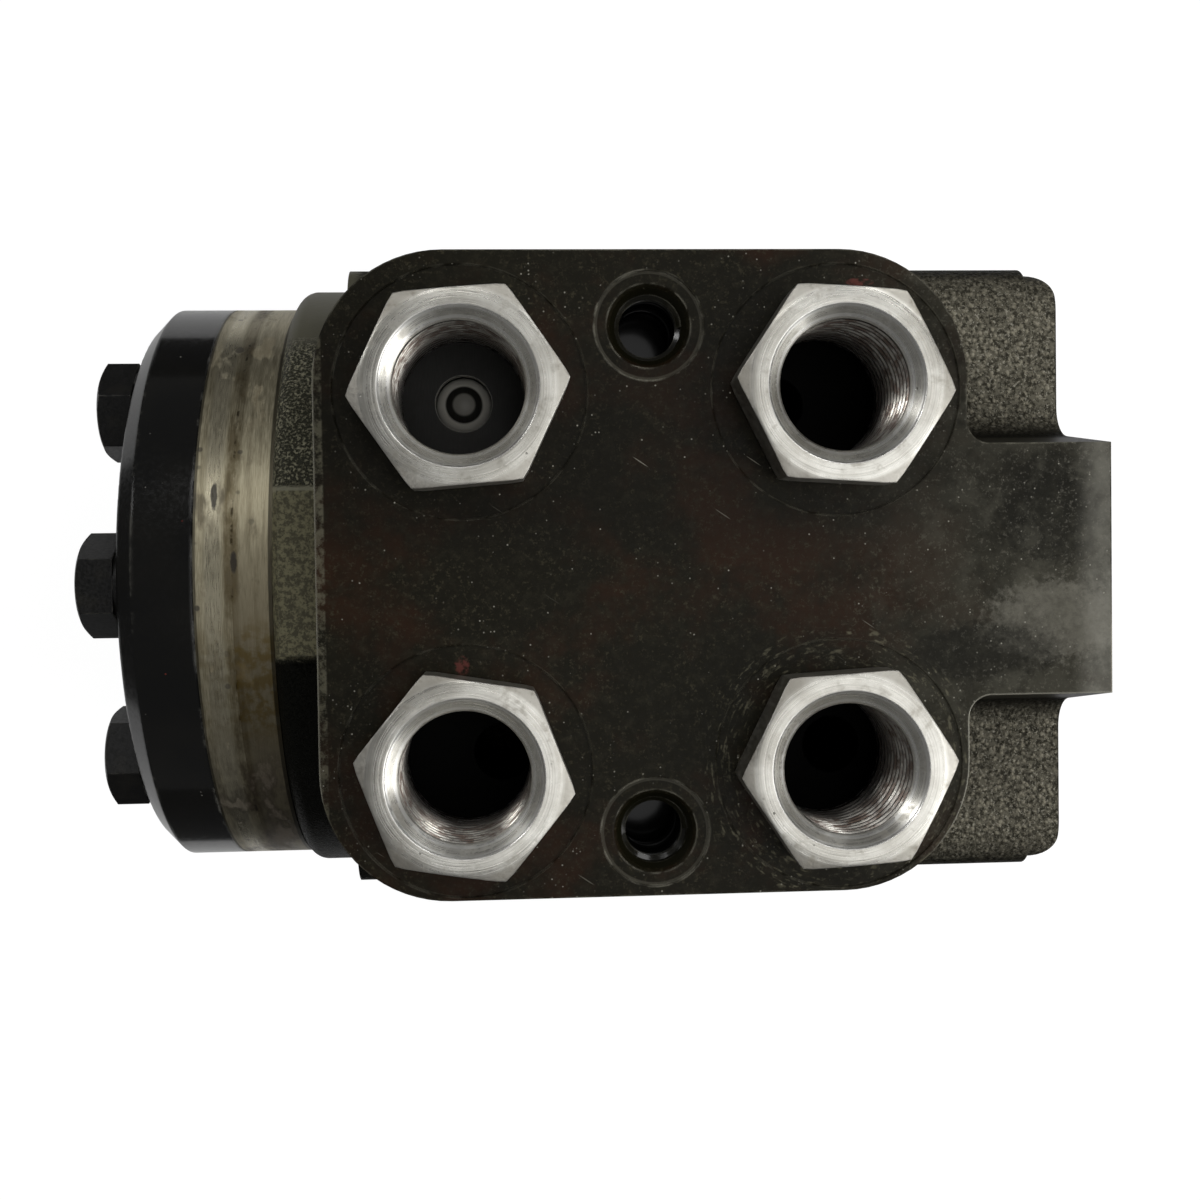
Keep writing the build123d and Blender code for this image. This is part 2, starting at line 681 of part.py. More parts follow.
with BuildPart() as spool:
    with Locations((spool_end, 0, 0)):
        spool_length = spool_start - spool_end
        room_length = room_end - spool_end
        Cylinder(spool_d / 2, spool_length, rotation=along_x, align=from_start)
        for bore_r, bore_length in ((spool_bore_d / 2, room_length), (spline_minor_d / 2, spool_length)):
            Cylinder(bore_r, bore_length, rotation=along_x, align=from_start, mode=Mode.SUBTRACT)
    chamfer(edges().filter_by(GeomType.CIRCLE).group_by(Axis.X)[-1], length=spline_lead_in)
    # internal spline for the steering column
    with BuildSketch(Plane.YZ.offset(spool_start)):
        with PolarLocations(0, spline_teeth):
            Rectangle(spline_major_d / 2, spline_space, align=(Align.MIN, Align.CENTER))
    extrude(amount=-spline_length, mode=Mode.SUBTRACT)
    # slot that lets the spool turn against the springs, and the long hole for the cross pin
    with BuildSketch(Plane.XZ):
        with Locations((-spring_place, 0)):
            Rectangle(spring_width + 2 * spring_slot_gap, spring_slot + 2 * spool_play)
    extrude(amount=bore_d, both=True, mode=Mode.SUBTRACT)
    with BuildSketch(Plane.XY):
        with Locations((cross_pin_x, 0)):
            pin_slot = cross_pin_d + 2 * spring_slot_gap
            Rectangle(pin_slot, pin_slot + 2 * spool_play)
            fillet(vertices(), radius=spool_play)
    extrude(amount=bore_d, both=True, mode=Mode.SUBTRACT)
    # metering slots along the outside
    for step in range(spool_slot_count):
        with Locations(outward(spool_slot_x, step * 360 / spool_slot_count, spool_d / 2)):
            Box(spool_slot_length, spool_slot_width, 2 * spool_slot_depth, mode=Mode.SUBTRACT)
save(spool, "spool")

# ---------------------------------------------------------------- cardan shaft
with BuildPart() as cardan_shaft:
    with BuildSketch(cardan_plane.offset(cardan_fork_overhang)):
        Circle(cardan_head_d / 2)
    extrude(amount=-cardan_head_length)
    with BuildSketch(cardan_plane):
        Circle(cardan_waist_d / 2)
    extrude(amount=-cardan_reach)
    with BuildSketch(cardan_plane.offset(-cardan_reach)):
        Circle(cardan_spline_root_d / 2)
        with PolarLocations(0, cardan_spline_teeth):
            Rectangle(cardan_spline_tip_d / 2, cardan_tooth, align=(Align.MIN, Align.CENTER))
    extrude(amount=cardan_spline_length)
    # fork that straddles the cross pin
    with BuildSketch(cardan_plane.offset(cardan_fork_overhang)):
        Rectangle(cross_pin_d + 2 * cardan_fork_gap, cardan_head_d)
    extrude(
        amount=-cardan_fork_overhang - cross_pin_d / 2 - cardan_fork_root_gap,
        mode=Mode.SUBTRACT,
    )
save(cardan_shaft, "cardan_shaft")

# ---------------------------------------------------------------- distributor plate, gear set and cover
with BuildPart() as distributor_plate:
    with BuildSketch(ring_at(ring_face)):
        Circle(gear_set_d / 2)
        Circle(distributor_bore_d / 2, mode=Mode.SUBTRACT)
        with PolarLocations(lobe_circle_r, ring_lobes):
            Circle(screw_d / 2 + screw_hole_gap, mode=Mode.SUBTRACT)
        slot_r = (metering_port_r + metering_drill_r) / 2
        with PolarLocations(slot_r, ring_lobes, start_angle=screw_step / 2):
            SlotCenterToCenter(metering_port_r - metering_drill_r, metering_port_d, mode=Mode.SUBTRACT)
    extrude(amount=distributor_width)
    with BuildSketch(ring_at(ring_face)):
        Circle(o_ring_r + o_ring_groove_width / 2)
        Circle(o_ring_r - o_ring_groove_width / 2, mode=Mode.SUBTRACT)
    extrude(amount=o_ring_groove_depth, mode=Mode.SUBTRACT)
save(distributor_plate, "distributor_plate")

with BuildPart() as gear_ring:
    with BuildSketch(ring_at(cover_face)):
        Circle(gear_set_d / 2)
        Circle(lobe_circle_r - lobe_r + 2 * eccentricity + lobe_root_relief, mode=Mode.SUBTRACT)
        with PolarLocations(lobe_circle_r, ring_lobes):
            Circle(lobe_r)
        with PolarLocations(lobe_circle_r, ring_lobes):
            Circle(screw_d / 2 + screw_hole_gap, mode=Mode.SUBTRACT)
    extrude(amount=gear_ring_width)
save(gear_ring, "gear_ring")


def rotor_point(turn):
    """A point of the six-lobed rotor: the path of a ring lobe's centre, moved in by its radius."""
    x = lobe_circle_r * cos(turn) - eccentricity * cos(ring_lobes * turn)
    y = lobe_circle_r * sin(turn) - eccentricity * sin(ring_lobes * turn)
    slope_x = -lobe_circle_r * sin(turn) + ring_lobes * eccentricity * sin(ring_lobes * turn)
    slope_y = lobe_circle_r * cos(turn) - ring_lobes * eccentricity * cos(ring_lobes * turn)
    inset = (lobe_r + rotor_mesh_gap) / hypot(slope_x, slope_y)
    return (x - slope_y * inset, y + slope_x * inset)


with BuildPart() as rotor:
    rotor_plane = Plane(origin=(cover_face + side_gap, 0, eccentricity), x_dir=(0, 0, 1), z_dir=(1, 0, 0))
    with BuildSketch(rotor_plane):
        with BuildLine():
            steps = rotor_steps * (ring_lobes - 1)
            Spline(*[rotor_point(2 * pi * step / steps) for step in range(steps)], periodic=True)
        make_face()
        Circle(cardan_spline_root_d / 2 + cardan_spline_gap, mode=Mode.SUBTRACT)
        with PolarLocations(0, cardan_spline_teeth):
            Rectangle(
                cardan_spline_tip_d / 2 + cardan_spline_gap,
                cardan_tooth + 2 * cardan_spline_gap,
                align=(Align.MIN, Align.CENTER),
                mode=Mode.SUBTRACT,
            )
    extrude(amount=gear_ring_width - 2 * side_gap)
save(rotor, "rotor")

with BuildPart() as cardan_spacer:
    with Locations((cover_face + side_gap, 0, eccentricity)):
        Cylinder(cardan_spline_root_d / 2, spacer_thickness, rotation=along_x, align=from_start)
save(cardan_spacer, "cardan_spacer")

with BuildPart() as end_cover:
    with BuildSketch(ring_at(cover_face)):
        Circle(gear_set_d / 2)
    extrude(amount=-cover_thickness)
    chamfer(edges().group_by(Axis.X)[0], length=cover_chamfer)
    fillet(edges().filter_by(GeomType.CIRCLE).group_by(Axis.X)[:2][0], radius=cover_edge)
    with BuildSketch(ring_at(cover_back)):
        with PolarLocations(lobe_circle_r, ring_lobes):
            Circle(screw_d / 2 + screw_hole_gap)
    extrude(amount=cover_thickness, mode=Mode.SUBTRACT)
    with BuildSketch(ring_at(cover_face)):
        Circle(o_ring_r + o_ring_groove_width / 2)
        Circle(o_ring_r - o_ring_groove_width / 2, mode=Mode.SUBTRACT)
    extrude(amount=-o_ring_groove_depth, mode=Mode.SUBTRACT)
save(end_cover, "end_cover")

with BuildPart() as o_rings:
    for open_side, direction in ((gear_face, 1), (ring_face, 1), (cover_face, -1)):
        with BuildSketch(ring_at(open_side)):
            Circle(o_ring_r + o_ring_section / 2)
            Circle(o_ring_r - o_ring_section / 2, mode=Mode.SUBTRACT)
        extrude(amount=direction * o_ring_groove_depth)
save(o_rings, "o_rings")

# ---------------------------------------------------------------- cover screws
with BuildPart() as screw_washers:
    with BuildSketch(ring_at(cover_back)):
        with PolarLocations(lobe_circle_r, ring_lobes):
            Circle(washer_d / 2)
            Circle(screw_d / 2 + screw_hole_gap, mode=Mode.SUBTRACT)
    extrude(amount=-washer_thickness)
save(screw_washers, "screw_washers")


def make_screw(tip_length):
    """A hex-head screw with a chamfered crown, its seat at the origin and its tip towards +Z."""
    with BuildPart() as screw:
        with BuildSketch():
            RegularPolygon(screw_head_af / 2, 6, major_radius=False)
        extrude(amount=-screw_head_height)
        with BuildSketch(Plane.XZ):
            crown_width = screw_head_af - screw_head_crown_d / 2
            crown_drop = crown_width * tan(radians(screw_head_slope))
            with BuildLine():
                Polyline(
                    (0, 0),
                    (screw_head_af, 0),
                    (screw_head_af, crown_drop - screw_head_height),
                    (screw_head_crown_d / 2, -screw_head_height),
                    (0, -screw_head_height),
                    close=True,
                )
            make_face()
        revolve(axis=Axis.Z, mode=Mode.INTERSECT)
        with BuildSketch():
            Circle(screw_d / 2 - thread_gap)
        extrude(amount=screw_tip - head_seat)
        if tip_length:
            with BuildSketch(Plane.XY.offset(screw_tip - head_seat)):
                Circle(pin_screw_tip_d / 2)
            extrude(amount=tip_length)
    return screw


def make_screws(steps, tip_length=0.0):
    """Screws through the cover, one at each given step round the screw circle, each as tightened."""
    screw = make_screw(tip_length).part
    with BuildPart() as screws:
        for step in steps:
            seat = outward(head_seat, step * screw_step, lobe_circle_r)
            head_plane = Plane(origin=seat.origin, x_dir=seat.z_dir, z_dir=(1, 0, 0))
            with Locations(head_plane.location * Rotation(0, 0, head_turn[step])):
                add(screw)
    return screws


plain_steps = [step for step in range(ring_lobes) if step != pin_screw_index]
save(make_screws(plain_steps), "cover_screws")
save(make_screws([pin_screw_index], pin_screw_tip), "pin_screw")

with BuildPart() as emergency_ball:
    ball_place = outward(emergency_ball_x, pin_screw_index * screw_step, lobe_circle_r).origin
    with Locations(ball_place):
        Sphere(emergency_ball_d / 2)
save(emergency_ball, "emergency_ball")
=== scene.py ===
"""Orbital steering unit: finishes, port adapters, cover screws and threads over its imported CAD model.

Lengths in this file are in millimetres, until a mesh or an object takes them in metres.
+X runs along the shaft towards the steering column and +Z is the normal of the port face.
"""
import json
from math import cos, pi, radians, sin, tan

import bmesh
import bpy
from mathutils import Euler, Matrix, Vector


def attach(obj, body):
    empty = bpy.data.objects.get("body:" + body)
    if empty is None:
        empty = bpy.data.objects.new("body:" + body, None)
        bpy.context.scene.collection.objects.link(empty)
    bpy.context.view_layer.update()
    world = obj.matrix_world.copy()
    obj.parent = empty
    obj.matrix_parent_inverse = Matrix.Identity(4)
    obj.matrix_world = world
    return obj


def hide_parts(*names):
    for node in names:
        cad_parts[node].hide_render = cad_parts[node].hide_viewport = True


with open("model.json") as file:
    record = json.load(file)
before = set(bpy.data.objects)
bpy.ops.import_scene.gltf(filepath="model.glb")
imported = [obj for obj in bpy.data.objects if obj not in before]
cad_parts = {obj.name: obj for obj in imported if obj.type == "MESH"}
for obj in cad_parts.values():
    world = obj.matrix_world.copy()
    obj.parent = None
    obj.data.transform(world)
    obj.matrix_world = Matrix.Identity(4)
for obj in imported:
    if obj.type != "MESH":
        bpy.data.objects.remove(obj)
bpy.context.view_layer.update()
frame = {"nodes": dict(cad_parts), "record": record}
MM = 0.001

# ---------------------------------------------------------------- sizes shared with the CAD model
shaft_to_port_face = 59.0
back_height = 45.0
casting_middle = 0.7        # the casting stands a little to one side of the shaft
half_body = 43.4
shoulder_height = 40.5
pad_gear_end = -102.5
pad_column_end = -19.0
tongue_half = 16.3
flange_end = -98.0
land_from = -10.0           # raised land on the gear-side flange
land_to = 13.0
gear_face = -110.4
ring_face = -115.8
cover_face = -121.0
head_seat = -133.0
screw_tip = -96.4
screw_circle_r = 33.0
screw_step = 360 / 7
head_turn = [90, 83, 90, 71, 102, 95, 97]      # degrees, as tightened
pin_screw_step = 2
port_centres = {"p": (-84, 24), "l": (-36, 24), "t": (-84, -24), "r": (-36, -24)}
port_hole_r = 10.7
hex_turn = {"p": 4.5, "l": -3.7, "t": -9.2, "r": 3.3}     # degrees, as tightened
valve_holes = [(-60, 32.3), (-60, -32.3)]
valve_mouth_r = 5.7
valve_ring_r = 7.0
valve_thread_start = 2.2    # below the port face
column_hole_half = 29.2
column_thread_start = 1.2   # behind the column face

# port adapters
adapter_foot = 46.2
shank_r = 10.2
tip_chamfer = 1.2
seal_room_top = 59.9
seal_room_r = 11.3
head_foot = 58.7
head_top = 65.5
head_half_flats = 12.0
corner_r = 13.72
foot_chamfer = 0.45
turned_face_r = 11.7        # the lathe leaves the face flat out to here
corner_slope = 14.0         # degrees
rim_width = 0.25
mouth_r = 9.8
mouth_break = (0.15, 0.12)  # width and depth of the broken edge
thread_crest_r = 8.2
thread_root_r = 9.0
thread_pitch = 1.5
thread_run_out = 0.4
thread_mouth = head_top - (mouth_r - thread_crest_r)
thread_form = [(0.0, 0.0), (0.2, 0.0), (0.56, 1.0), (0.68, 1.0)]     # share of pitch, share of depth
adapter_sides = 72

# marks as seen square to the port face: centre, half length along X and Y, and how ragged
# the next entry is a painted sheen on the port face, not a mark
sheen_patch = (-7.5, -6, 9, 5.5, 0.6)
# the second of the dark patches is painted shade
dark_patches = [(-17, -10, 10, 4, 0.45), (-7.5, 8.5, 7.5, 7.5, 0.45)]
red_dabs = [(-32.8, 37.7, 1.7, 0.5, 0.6), (-84.3, -10.6, 0.9, 1.4, 0.6)]
oil_marks = [(-118.3, 12.1, 0.45, 2.0, 0.4), (-117.1, 34.1, 0.7, 0.6, 0.4), (-115.5, 3.0, 0.5, 1.6, 0.5)]


# ---------------------------------------------------------------- node building
def paint(code):
    """A colour written as six hex digits, as the linear values that Blender takes."""
    parts = [int(code[i:i + 2], 16) / 255 for i in (0, 2, 4)]
    return tuple(p / 12.92 if p < 0.04045 else ((p + 0.055) / 1.055) ** 2.4 for p in parts) + (1.0,)


class Value:
    """An output socket that is used in arithmetic like a number."""

    def __init__(self, net, socket):
        self.net = net
        self.socket = socket

    def math(self, operation, first, second):
        return self.net.node("ShaderNodeMath", {"operation": operation}, {0: first, 1: second})

    def __add__(self, other):
        return self.math("ADD", self, other)

    def __radd__(self, other):
        return self.math("ADD", other, self)

    def __sub__(self, other):
        return self.math("SUBTRACT", self, other)

    def __rsub__(self, other):
        return self.math("SUBTRACT", other, self)

    def __mul__(self, other):
        return self.math("MULTIPLY", self, other)

    def __rmul__(self, other):
        return self.math("MULTIPLY", other, self)

    def __truediv__(self, other):
        return self.math("DIVIDE", self, other)

    def __pow__(self, other):
        return self.math("POWER", self, other)

    def __abs__(self):
        return self.math("ABSOLUTE", self, 0.0)

    def __lt__(self, other):
        return self.math("LESS_THAN", self, other)

    def __gt__(self, other):
        return self.math("GREATER_THAN", self, other)


class Net:
    """A node tree that is filled one node at a time."""

    def __init__(self, tree):
        self.tree = tree

    def node(self, kind, settings=None, sockets=None, out=0):
        """Adds a node: its settings first, then a value or a link for each named socket."""
        made = self.tree.nodes.new(kind)
        for name, setting in (settings or {}).items():
            setattr(made, name, setting)
        for name, given in (sockets or {}).items():
            for one in given if isinstance(given, list) else [given]:
                if isinstance(one, Value):
                    self.tree.links.new(one.socket, made.inputs[name])
                else:
                    made.inputs[name].default_value = one
        return Value(self, made.outputs[out])

    def xyz(self, x, y, z):
        return self.node("ShaderNodeCombineXYZ", None, {0: x, 1: y, 2: z})


class Finish(Net):
    """A material whose pattern is worked out in millimetres on the object."""

    def __init__(self, name):
        self.material = bpy.data.materials.new(name)
        self.material.use_nodes = True
        super().__init__(self.material.node_tree)
        self.tree.nodes.clear()
        self.rounded = None
        spot = self.node("ShaderNodeTexCoord", out="Object")
        self.place = self.vector("SCALE", spot, scale=1000.0)
        self.x, self.y, self.z = self.axes(self.place)

    def axes(self, vector):
        split = self.node("ShaderNodeSeparateXYZ", None, {0: vector}).socket.node
        return [Value(self, split.outputs[i]) for i in range(3)]

    def vector(self, operation, first, second=(0, 0, 0), scale=1.0):
        sockets = {0: first, "Scale": scale} if operation == "SCALE" else {0: first, 1: second}
        return self.node("ShaderNodeVectorMath", {"operation": operation}, sockets)

    def stretch(self, sx, sy, sz, place=None):
        return self.vector("MULTIPLY", place or self.place, (sx, sy, sz))

    def from_shaft(self):
        return self.node("ShaderNodeVectorMath", {"operation": "LENGTH"}, {0: self.stretch(0, 1, 1)}, "Value")

    def noise(self, scale, detail=3.0, rough=0.55, place=None, shift=0.0):
        spot = self.vector("ADD", place or self.place, (shift, shift * 0.7, -shift))
        sockets = {"Vector": spot, "Scale": scale, "Detail": detail, "Roughness": rough}
        return self.node("ShaderNodeTexNoise", None, sockets, "Fac")

    def cells(self, scale, out, place=None, shift=0.0):
        spot = self.vector("ADD", place or self.place, (shift, -shift, shift * 0.3))
        return self.node("ShaderNodeTexVoronoi", None, {"Vector": spot, "Scale": scale}, out)

    def rise(self, value, low, high, start=0.0, end=1.0):
        """Goes smoothly from start to end while value goes from low to high."""
        sockets = {0: value, 1: low, 2: high, 3: start, 4: end}
        return self.node("ShaderNodeMapRange", {"interpolation_type": "SMOOTHSTEP"}, sockets)

    def band(self, value, low, high, soft):
        """1 from low to high, and 0 beyond a soft edge on either side."""
        return self.rise(value, low - soft, low) * self.rise(value, high, high + soft, 1.0, 0.0)

    def mix(self, share, first, second):
        """The first colour, with a share of the second over it."""
        return self.node("ShaderNodeMix", {"data_type": "RGBA"}, {0: share, 6: first, 7: second}, 2)

    def specks(self, scale, size, share, shift=0.0, place=None):
        """Small round dots in a share of the cells."""
        near = self.cells(scale, "Distance", place=place, shift=shift)
        pick = self.axes(self.cells(scale, "Color", place=place, shift=shift))
        return self.rise(near, size * 0.6, size, 1.0, 0.0) * (pick[0] < share) * pick[1]

    def reach(self, cx, cy):
        """Distance from an axis that stands on the port face."""
        return ((self.x - cx) ** 2.0 + (self.y - cy) ** 2.0) ** 0.5

    def blot(self, cx, cy, rx, ry, ragged):
        """A small ragged spot, seen square to the port face."""
        wander = self.noise(0.9, 4.0, 0.7, shift=cx)
        dx = (self.x - cx) / rx
        dy = (self.y - cy) / ry
        return self.rise(dx * dx + dy * dy + (wander - 0.5) * (4 * ragged), 0.5, 1.3, 1.0, 0.0)

    def edge(self, radius):
        """Near 1 along sharp edges, within a radius of them. The edges are also shaded as rounded."""
        self.rounded = self.node("ShaderNodeBevel", {"samples": 4}, {"Radius": radius * MM}, "Normal")
        flat = self.node("ShaderNodeNewGeometry", out="Normal")
        aligned = self.node(
            "ShaderNodeVectorMath", {"operation": "DOT_PRODUCT"}, {0: self.rounded, 1: flat}, "Value"
        )
        return self.rise(aligned, 0.86, 0.995, 1.0, 0.0)

    def surface(self, colour, roughness, height, metallic=0.0, coat=0.0, **fixed):
        """Ends the tree. Height is in millimetres; fixed holds plain numbers for other sockets."""
        sockets = {"Base Color": colour, "Roughness": roughness, "Metallic": metallic, "Coat Weight": coat}
        for name, value in fixed.items():
            sockets[name.replace("_", " ")] = value
        bump = {"Height": height, "Distance": MM, "Strength": 1.0}
        if self.rounded:
            bump["Normal"] = self.rounded
        sockets["Normal"] = self.node("ShaderNodeBump", None, bump, "Normal")
        self.end(self.node("ShaderNodeBsdfPrincipled", None, sockets, "BSDF"))
        return self.material

    def end(self, shader):
        last = self.tree.nodes.new("ShaderNodeOutputMaterial")
        self.tree.links.new(shader.socket, last.inputs["Surface"])


# ---------------------------------------------------------------- finishes
def black_casting():
    """Thin black paint over a casting: machined port face, grainy shoulders and flange."""
    f = Finish("black_casting")
    aside = abs(f.y - casting_middle)
    clouds = f.noise(0.035, 4.0, 0.6)
    rust = f.rise(f.noise(0.05, 5.0, 0.65, shift=40), 0.46, 0.64)
    fine = f.noise(1.1, 4.0, 0.6, shift=9)
    dust = f.noise(0.16, 5.0, 0.7, shift=71)
    mottle = f.noise(0.55, 5.0, 0.75, shift=90)
    port = f.rise(f.z, shaft_to_port_face - 1.2, shaft_to_port_face - 0.6)
    flange = f.rise(f.x, flange_end - 1.5, flange_end + 0.5, 1.0, 0.0) * f.rise(f.z, 50, 48)
    shoulder = f.rise(f.z, shoulder_height + 3.5, shoulder_height + 9.5, 1.0, 0.0) * (1 - flange)

    # port face: very dark, with brown clouds; painted sheen makes it greyer towards the column and lighter in
    # a patch near the column end
    face = f.mix(rust * 0.7, paint("17150c"), paint("301c0f"))
    face = f.mix(f.rise(clouds, 0.45, 0.75) * 0.5, face, paint("19180f"))
    face = f.mix(f.rise(mottle, 0.46, 0.7) * 0.5, face, paint("2d2a1f"))
    freckles = f.rise(f.noise(1.7, 3.0, 0.8, shift=47), 0.54, 0.68)
    face = f.mix(freckles * f.rise(dust, 0.35, 0.6, 0.25, 0.75), face, paint("3d392b"))
    face = f.mix(f.band(f.y, 8, 28, 8) * 0.35, face, paint("0f0d08"))
    tail = f.rise(f.x, pad_column_end - 25, 0)
    patchy = f.rise(f.noise(0.09, 6.0, 0.75, shift=62), 0.36, 0.64)
    # painted sheen: the face greyer in patches towards the column
    face = f.mix(tail * (0.15 + 0.65 * patchy), face, paint("47453b"))
    # painted sheen: a lighter patch low on the tongue near the column end
    sheen_blot = f.blot(*sheen_patch) * f.rise(mottle, 0.2, 0.7, 0.3)
    face = f.mix(sheen_blot * 0.7, face, paint("7b786d"))
    # darker patches on the port face; the one high on the tongue near the column end is painted shade
    darker_blots = sum(f.blot(*patch) for patch in dark_patches)
    face = f.mix(darker_blots * f.rise(mottle, 0.3, 0.6, 0.4) * 0.8, face, paint("15140e"))
    face = f.mix(tail * freckles * 0.35, face, paint("77746a"))
    face = f.mix(tail * f.rise(dust, 0.5, 0.66) * 0.4, face, paint("5c5a4f"))
    column_end = f.rise(f.x, -5.5, -1.2) * f.rise(f.y, -2, 5, 1.0, 0.55)
    face = f.mix(column_end * (0.35 + 0.5 * patchy), face, paint("8f8d83"))

    # cast skin: olive grey grain on the shoulders, darker on the walls of the pad
    grain = f.noise(1.5, 3.0, 0.8, shift=5)
    lumps = f.cells(1.3, "Distance", shift=3)
    cast = f.mix(f.rise(grain, 0.4, 0.58), paint("3c392f"), paint("8e8978"))
    cast = f.mix(f.rise(lumps, 0.25, 0.6, 0.0, 0.55), cast, paint("2a2820"))
    cast = f.mix(f.rise(f.noise(2.6, 2.0, 0.7, shift=25), 0.58, 0.66) * 0.7, cast, paint("a5a192"))
    # painted shade: the shoulders darker close to the root of the tongue
    root = f.rise(aside, tongue_half + 6.7, tongue_half + 2.2)
    root = root * f.rise(f.x, pad_column_end - 5, pad_column_end - 1)
    cast = f.mix(root * 0.9, cast, paint("1b1913"))
    # painted shade on the rounded outer corners of the shoulders
    cast = f.mix(f.rise(aside, half_body - 7.4, half_body - 1.9) * 0.45, cast, paint("1d1b14"))
    # the shoulder tops take the lighter grain, partly dust and partly painted light; the walls below stay
    # dark paint
    painted = f.mix(f.rise(grain, 0.42, 0.62), paint("121109"), paint("2f2d24"))
    upper = f.rise(f.z, shoulder_height - 10.5, shoulder_height - 1.5)
    cast = f.mix(upper * f.rise(aside, half_body - 0.8, half_body - 2.9), painted, cast)
    cast = f.mix(shoulder, paint("131209"), cast)
    walls = f.rise(f.z, shoulder_height + 0.7, shoulder_height + 3.5)
    walls = walls * f.rise(f.z, shaft_to_port_face - 1, shaft_to_port_face - 5)
    cast = f.mix(walls, cast, paint("15140f"))

    # gear-side flange: rough, with a smoother land under the pad, and a painted shadow below the land on the
    # far side
    flecks = f.rise(f.noise(2.5, 2.0, 0.7, shift=33), 0.44, 0.62)
    rough_flange = f.mix(flecks, paint("34342a"), paint("918e78"))
    top_smooth = f.rise(f.y, 33, 36)
    land = f.band(f.y, land_from, land_to, 0.4)
    step = f.band(f.y, land_to - 0.4, land_to + 0.2, 0.25)
    land_skin = f.mix(f.rise(grain, 0.42, 0.6), paint("504d3e"), paint("7c785e"))
    flange_skin = f.mix(land, rough_flange, land_skin)
    flange_skin = f.mix(top_smooth, flange_skin, paint("565447"))
    flange_skin = f.mix(step * 0.7, flange_skin, paint("8d8b78"))
    # painted shadow below the raised land
    flange_skin = f.mix(f.rise(f.y, land_from + 0.2, land_from - 1), flange_skin, paint("12120d"))
    cast = f.mix(flange, cast, flange_skin)
    colour = f.mix(port, cast, face)

    # column face and back, turned or milled and then painted
    faced = f.rise(f.x, -0.25, -0.05) + f.rise(f.z, 0.2 - back_height, 0.05 - back_height)
    sweep = f.noise(1.2, 3.0, 0.6, place=f.xyz(f.from_shaft(), 0.0, 0.0), shift=4)
    colour = f.mix(faced, colour, f.mix(f.rise(sweep, 0.35, 0.65), paint("1d1c17"), paint("27251f")))

    # painted shade deep inside the ports and the tapped holes, and a wet coat of oil in the tapped holes
    holes = 0.0
    for cx, cy in valve_holes:
        holes = holes + f.rise(f.reach(cx, cy), valve_mouth_r + 0.1, valve_mouth_r + 0.3, 1.0, 0.0)
    bores = 0.0
    round_ports = 0.0
    for cx, cy in port_centres.values():
        away = f.reach(cx, cy)
        bores = bores + f.rise(away, port_hole_r - 0.2, port_hole_r + 0.2, 1.0, 0.0)
        round_ports = round_ports + f.rise(away, 14, 22, 1.0, 0.0)
    mouth_foot = shaft_to_port_face - 5.5
    mouth_top = shaft_to_port_face - 3.5
    deep_shade = (holes * f.rise(f.z, mouth_top, mouth_foot) + bores) * f.rise(f.z, 24, 28) * (1 - port)
    mouth = holes * f.rise(f.z, mouth_foot, mouth_top) * (1 - port)
    # painted shade: near black deep in the bores and holes
    colour = f.mix(deep_shade, colour, paint("050504"))

    # light dust, nicks and scratches
    dense = 0.02 + 0.07 * tail + 0.2 * round_ports * f.rise(dust, 0.42, 0.6)
    dense = dense + 0.06 * f.rise(dust, 0.55, 0.7)
    pick = f.axes(f.cells(2.2, "Color", shift=12))
    near = f.cells(2.2, "Distance", shift=12)
    dots = f.rise(near, 0.1, 0.32, 1.0, 0.0) * (pick[0] < dense) * pick[2]
    slant = {"Vector": f.place, "Angle": 0.6}
    slanted = f.node("ShaderNodeVectorRotate", {"rotation_type": "Z_AXIS"}, slant)
    scratches = f.specks(0.6, 0.12, 0.1, place=f.stretch(0.14, 2.4, 1.0, slanted))
    colour = f.mix(port * dots * pick[1], colour, paint("b3b0a3"))
    colour = f.mix(port * scratches * 0.7, colour, paint("8c897c"))

    # rings left round the tapped holes, arcs of grime round one adapter, dabs of red
    rim = 0.0
    for cx, cy in valve_holes:
        rim = rim + f.band(f.reach(cx, cy), valve_ring_r - 0.35, valve_ring_r - 0.05, 0.15)
    colour = f.mix(port * rim * 0.4, colour, paint("5b584d"))

    away = f.reach(*port_centres["r"])
    arcs = f.noise(2.4, 1.0, 0.5, place=f.xyz(away, f.x * 0.3, f.y * 0.3), shift=15)
    arcs = f.rise(arcs, 0.55, 0.68) * f.band(away, 13, 17.2, 1.0)
    colour = f.mix(port * arcs * f.rise(mottle, 0.42, 0.6) * 0.45, colour, paint("77735f"))
    dabs = sum(f.blot(*dab) for dab in red_dabs)
    colour = f.mix(port * dabs * f.rise(fine, 0.35, 0.6) * 0.4, colour, paint("8a4a44"))

    # worn edges
    edges = f.edge(0.4)
    worn = edges * f.rise(f.noise(0.35, 4.0, 0.6, shift=21), 0.4, 0.6) * (1 - deep_shade)
    colour = f.mix(worn * (0.3 + 0.55 * port) * (1 - 0.75 * port * round_ports), colour, paint("8f8c7e"))
    rubbed = f.rise(f.x, pad_gear_end + 0.6, pad_gear_end + 0.2)
    rubbed = rubbed + f.rise(f.x, pad_column_end - 8, pad_column_end - 3) * f.rise(f.y, -4, -8)
    inner_edge = f.rise(away, 16.6, 17.0) * f.rise(f.z, shaft_to_port_face - 1, shaft_to_port_face - 0.4)
    colour = f.mix(edges * rubbed * inner_edge, colour, paint("bdbaab"))
    lip = f.band(f.x, pad_gear_end + 0.1, pad_gear_end + 1, 0.3) * port * f.rise(mottle, 0.4, 0.6)
    colour = f.mix(lip * 0.5, colour, paint("6f6c5b"))

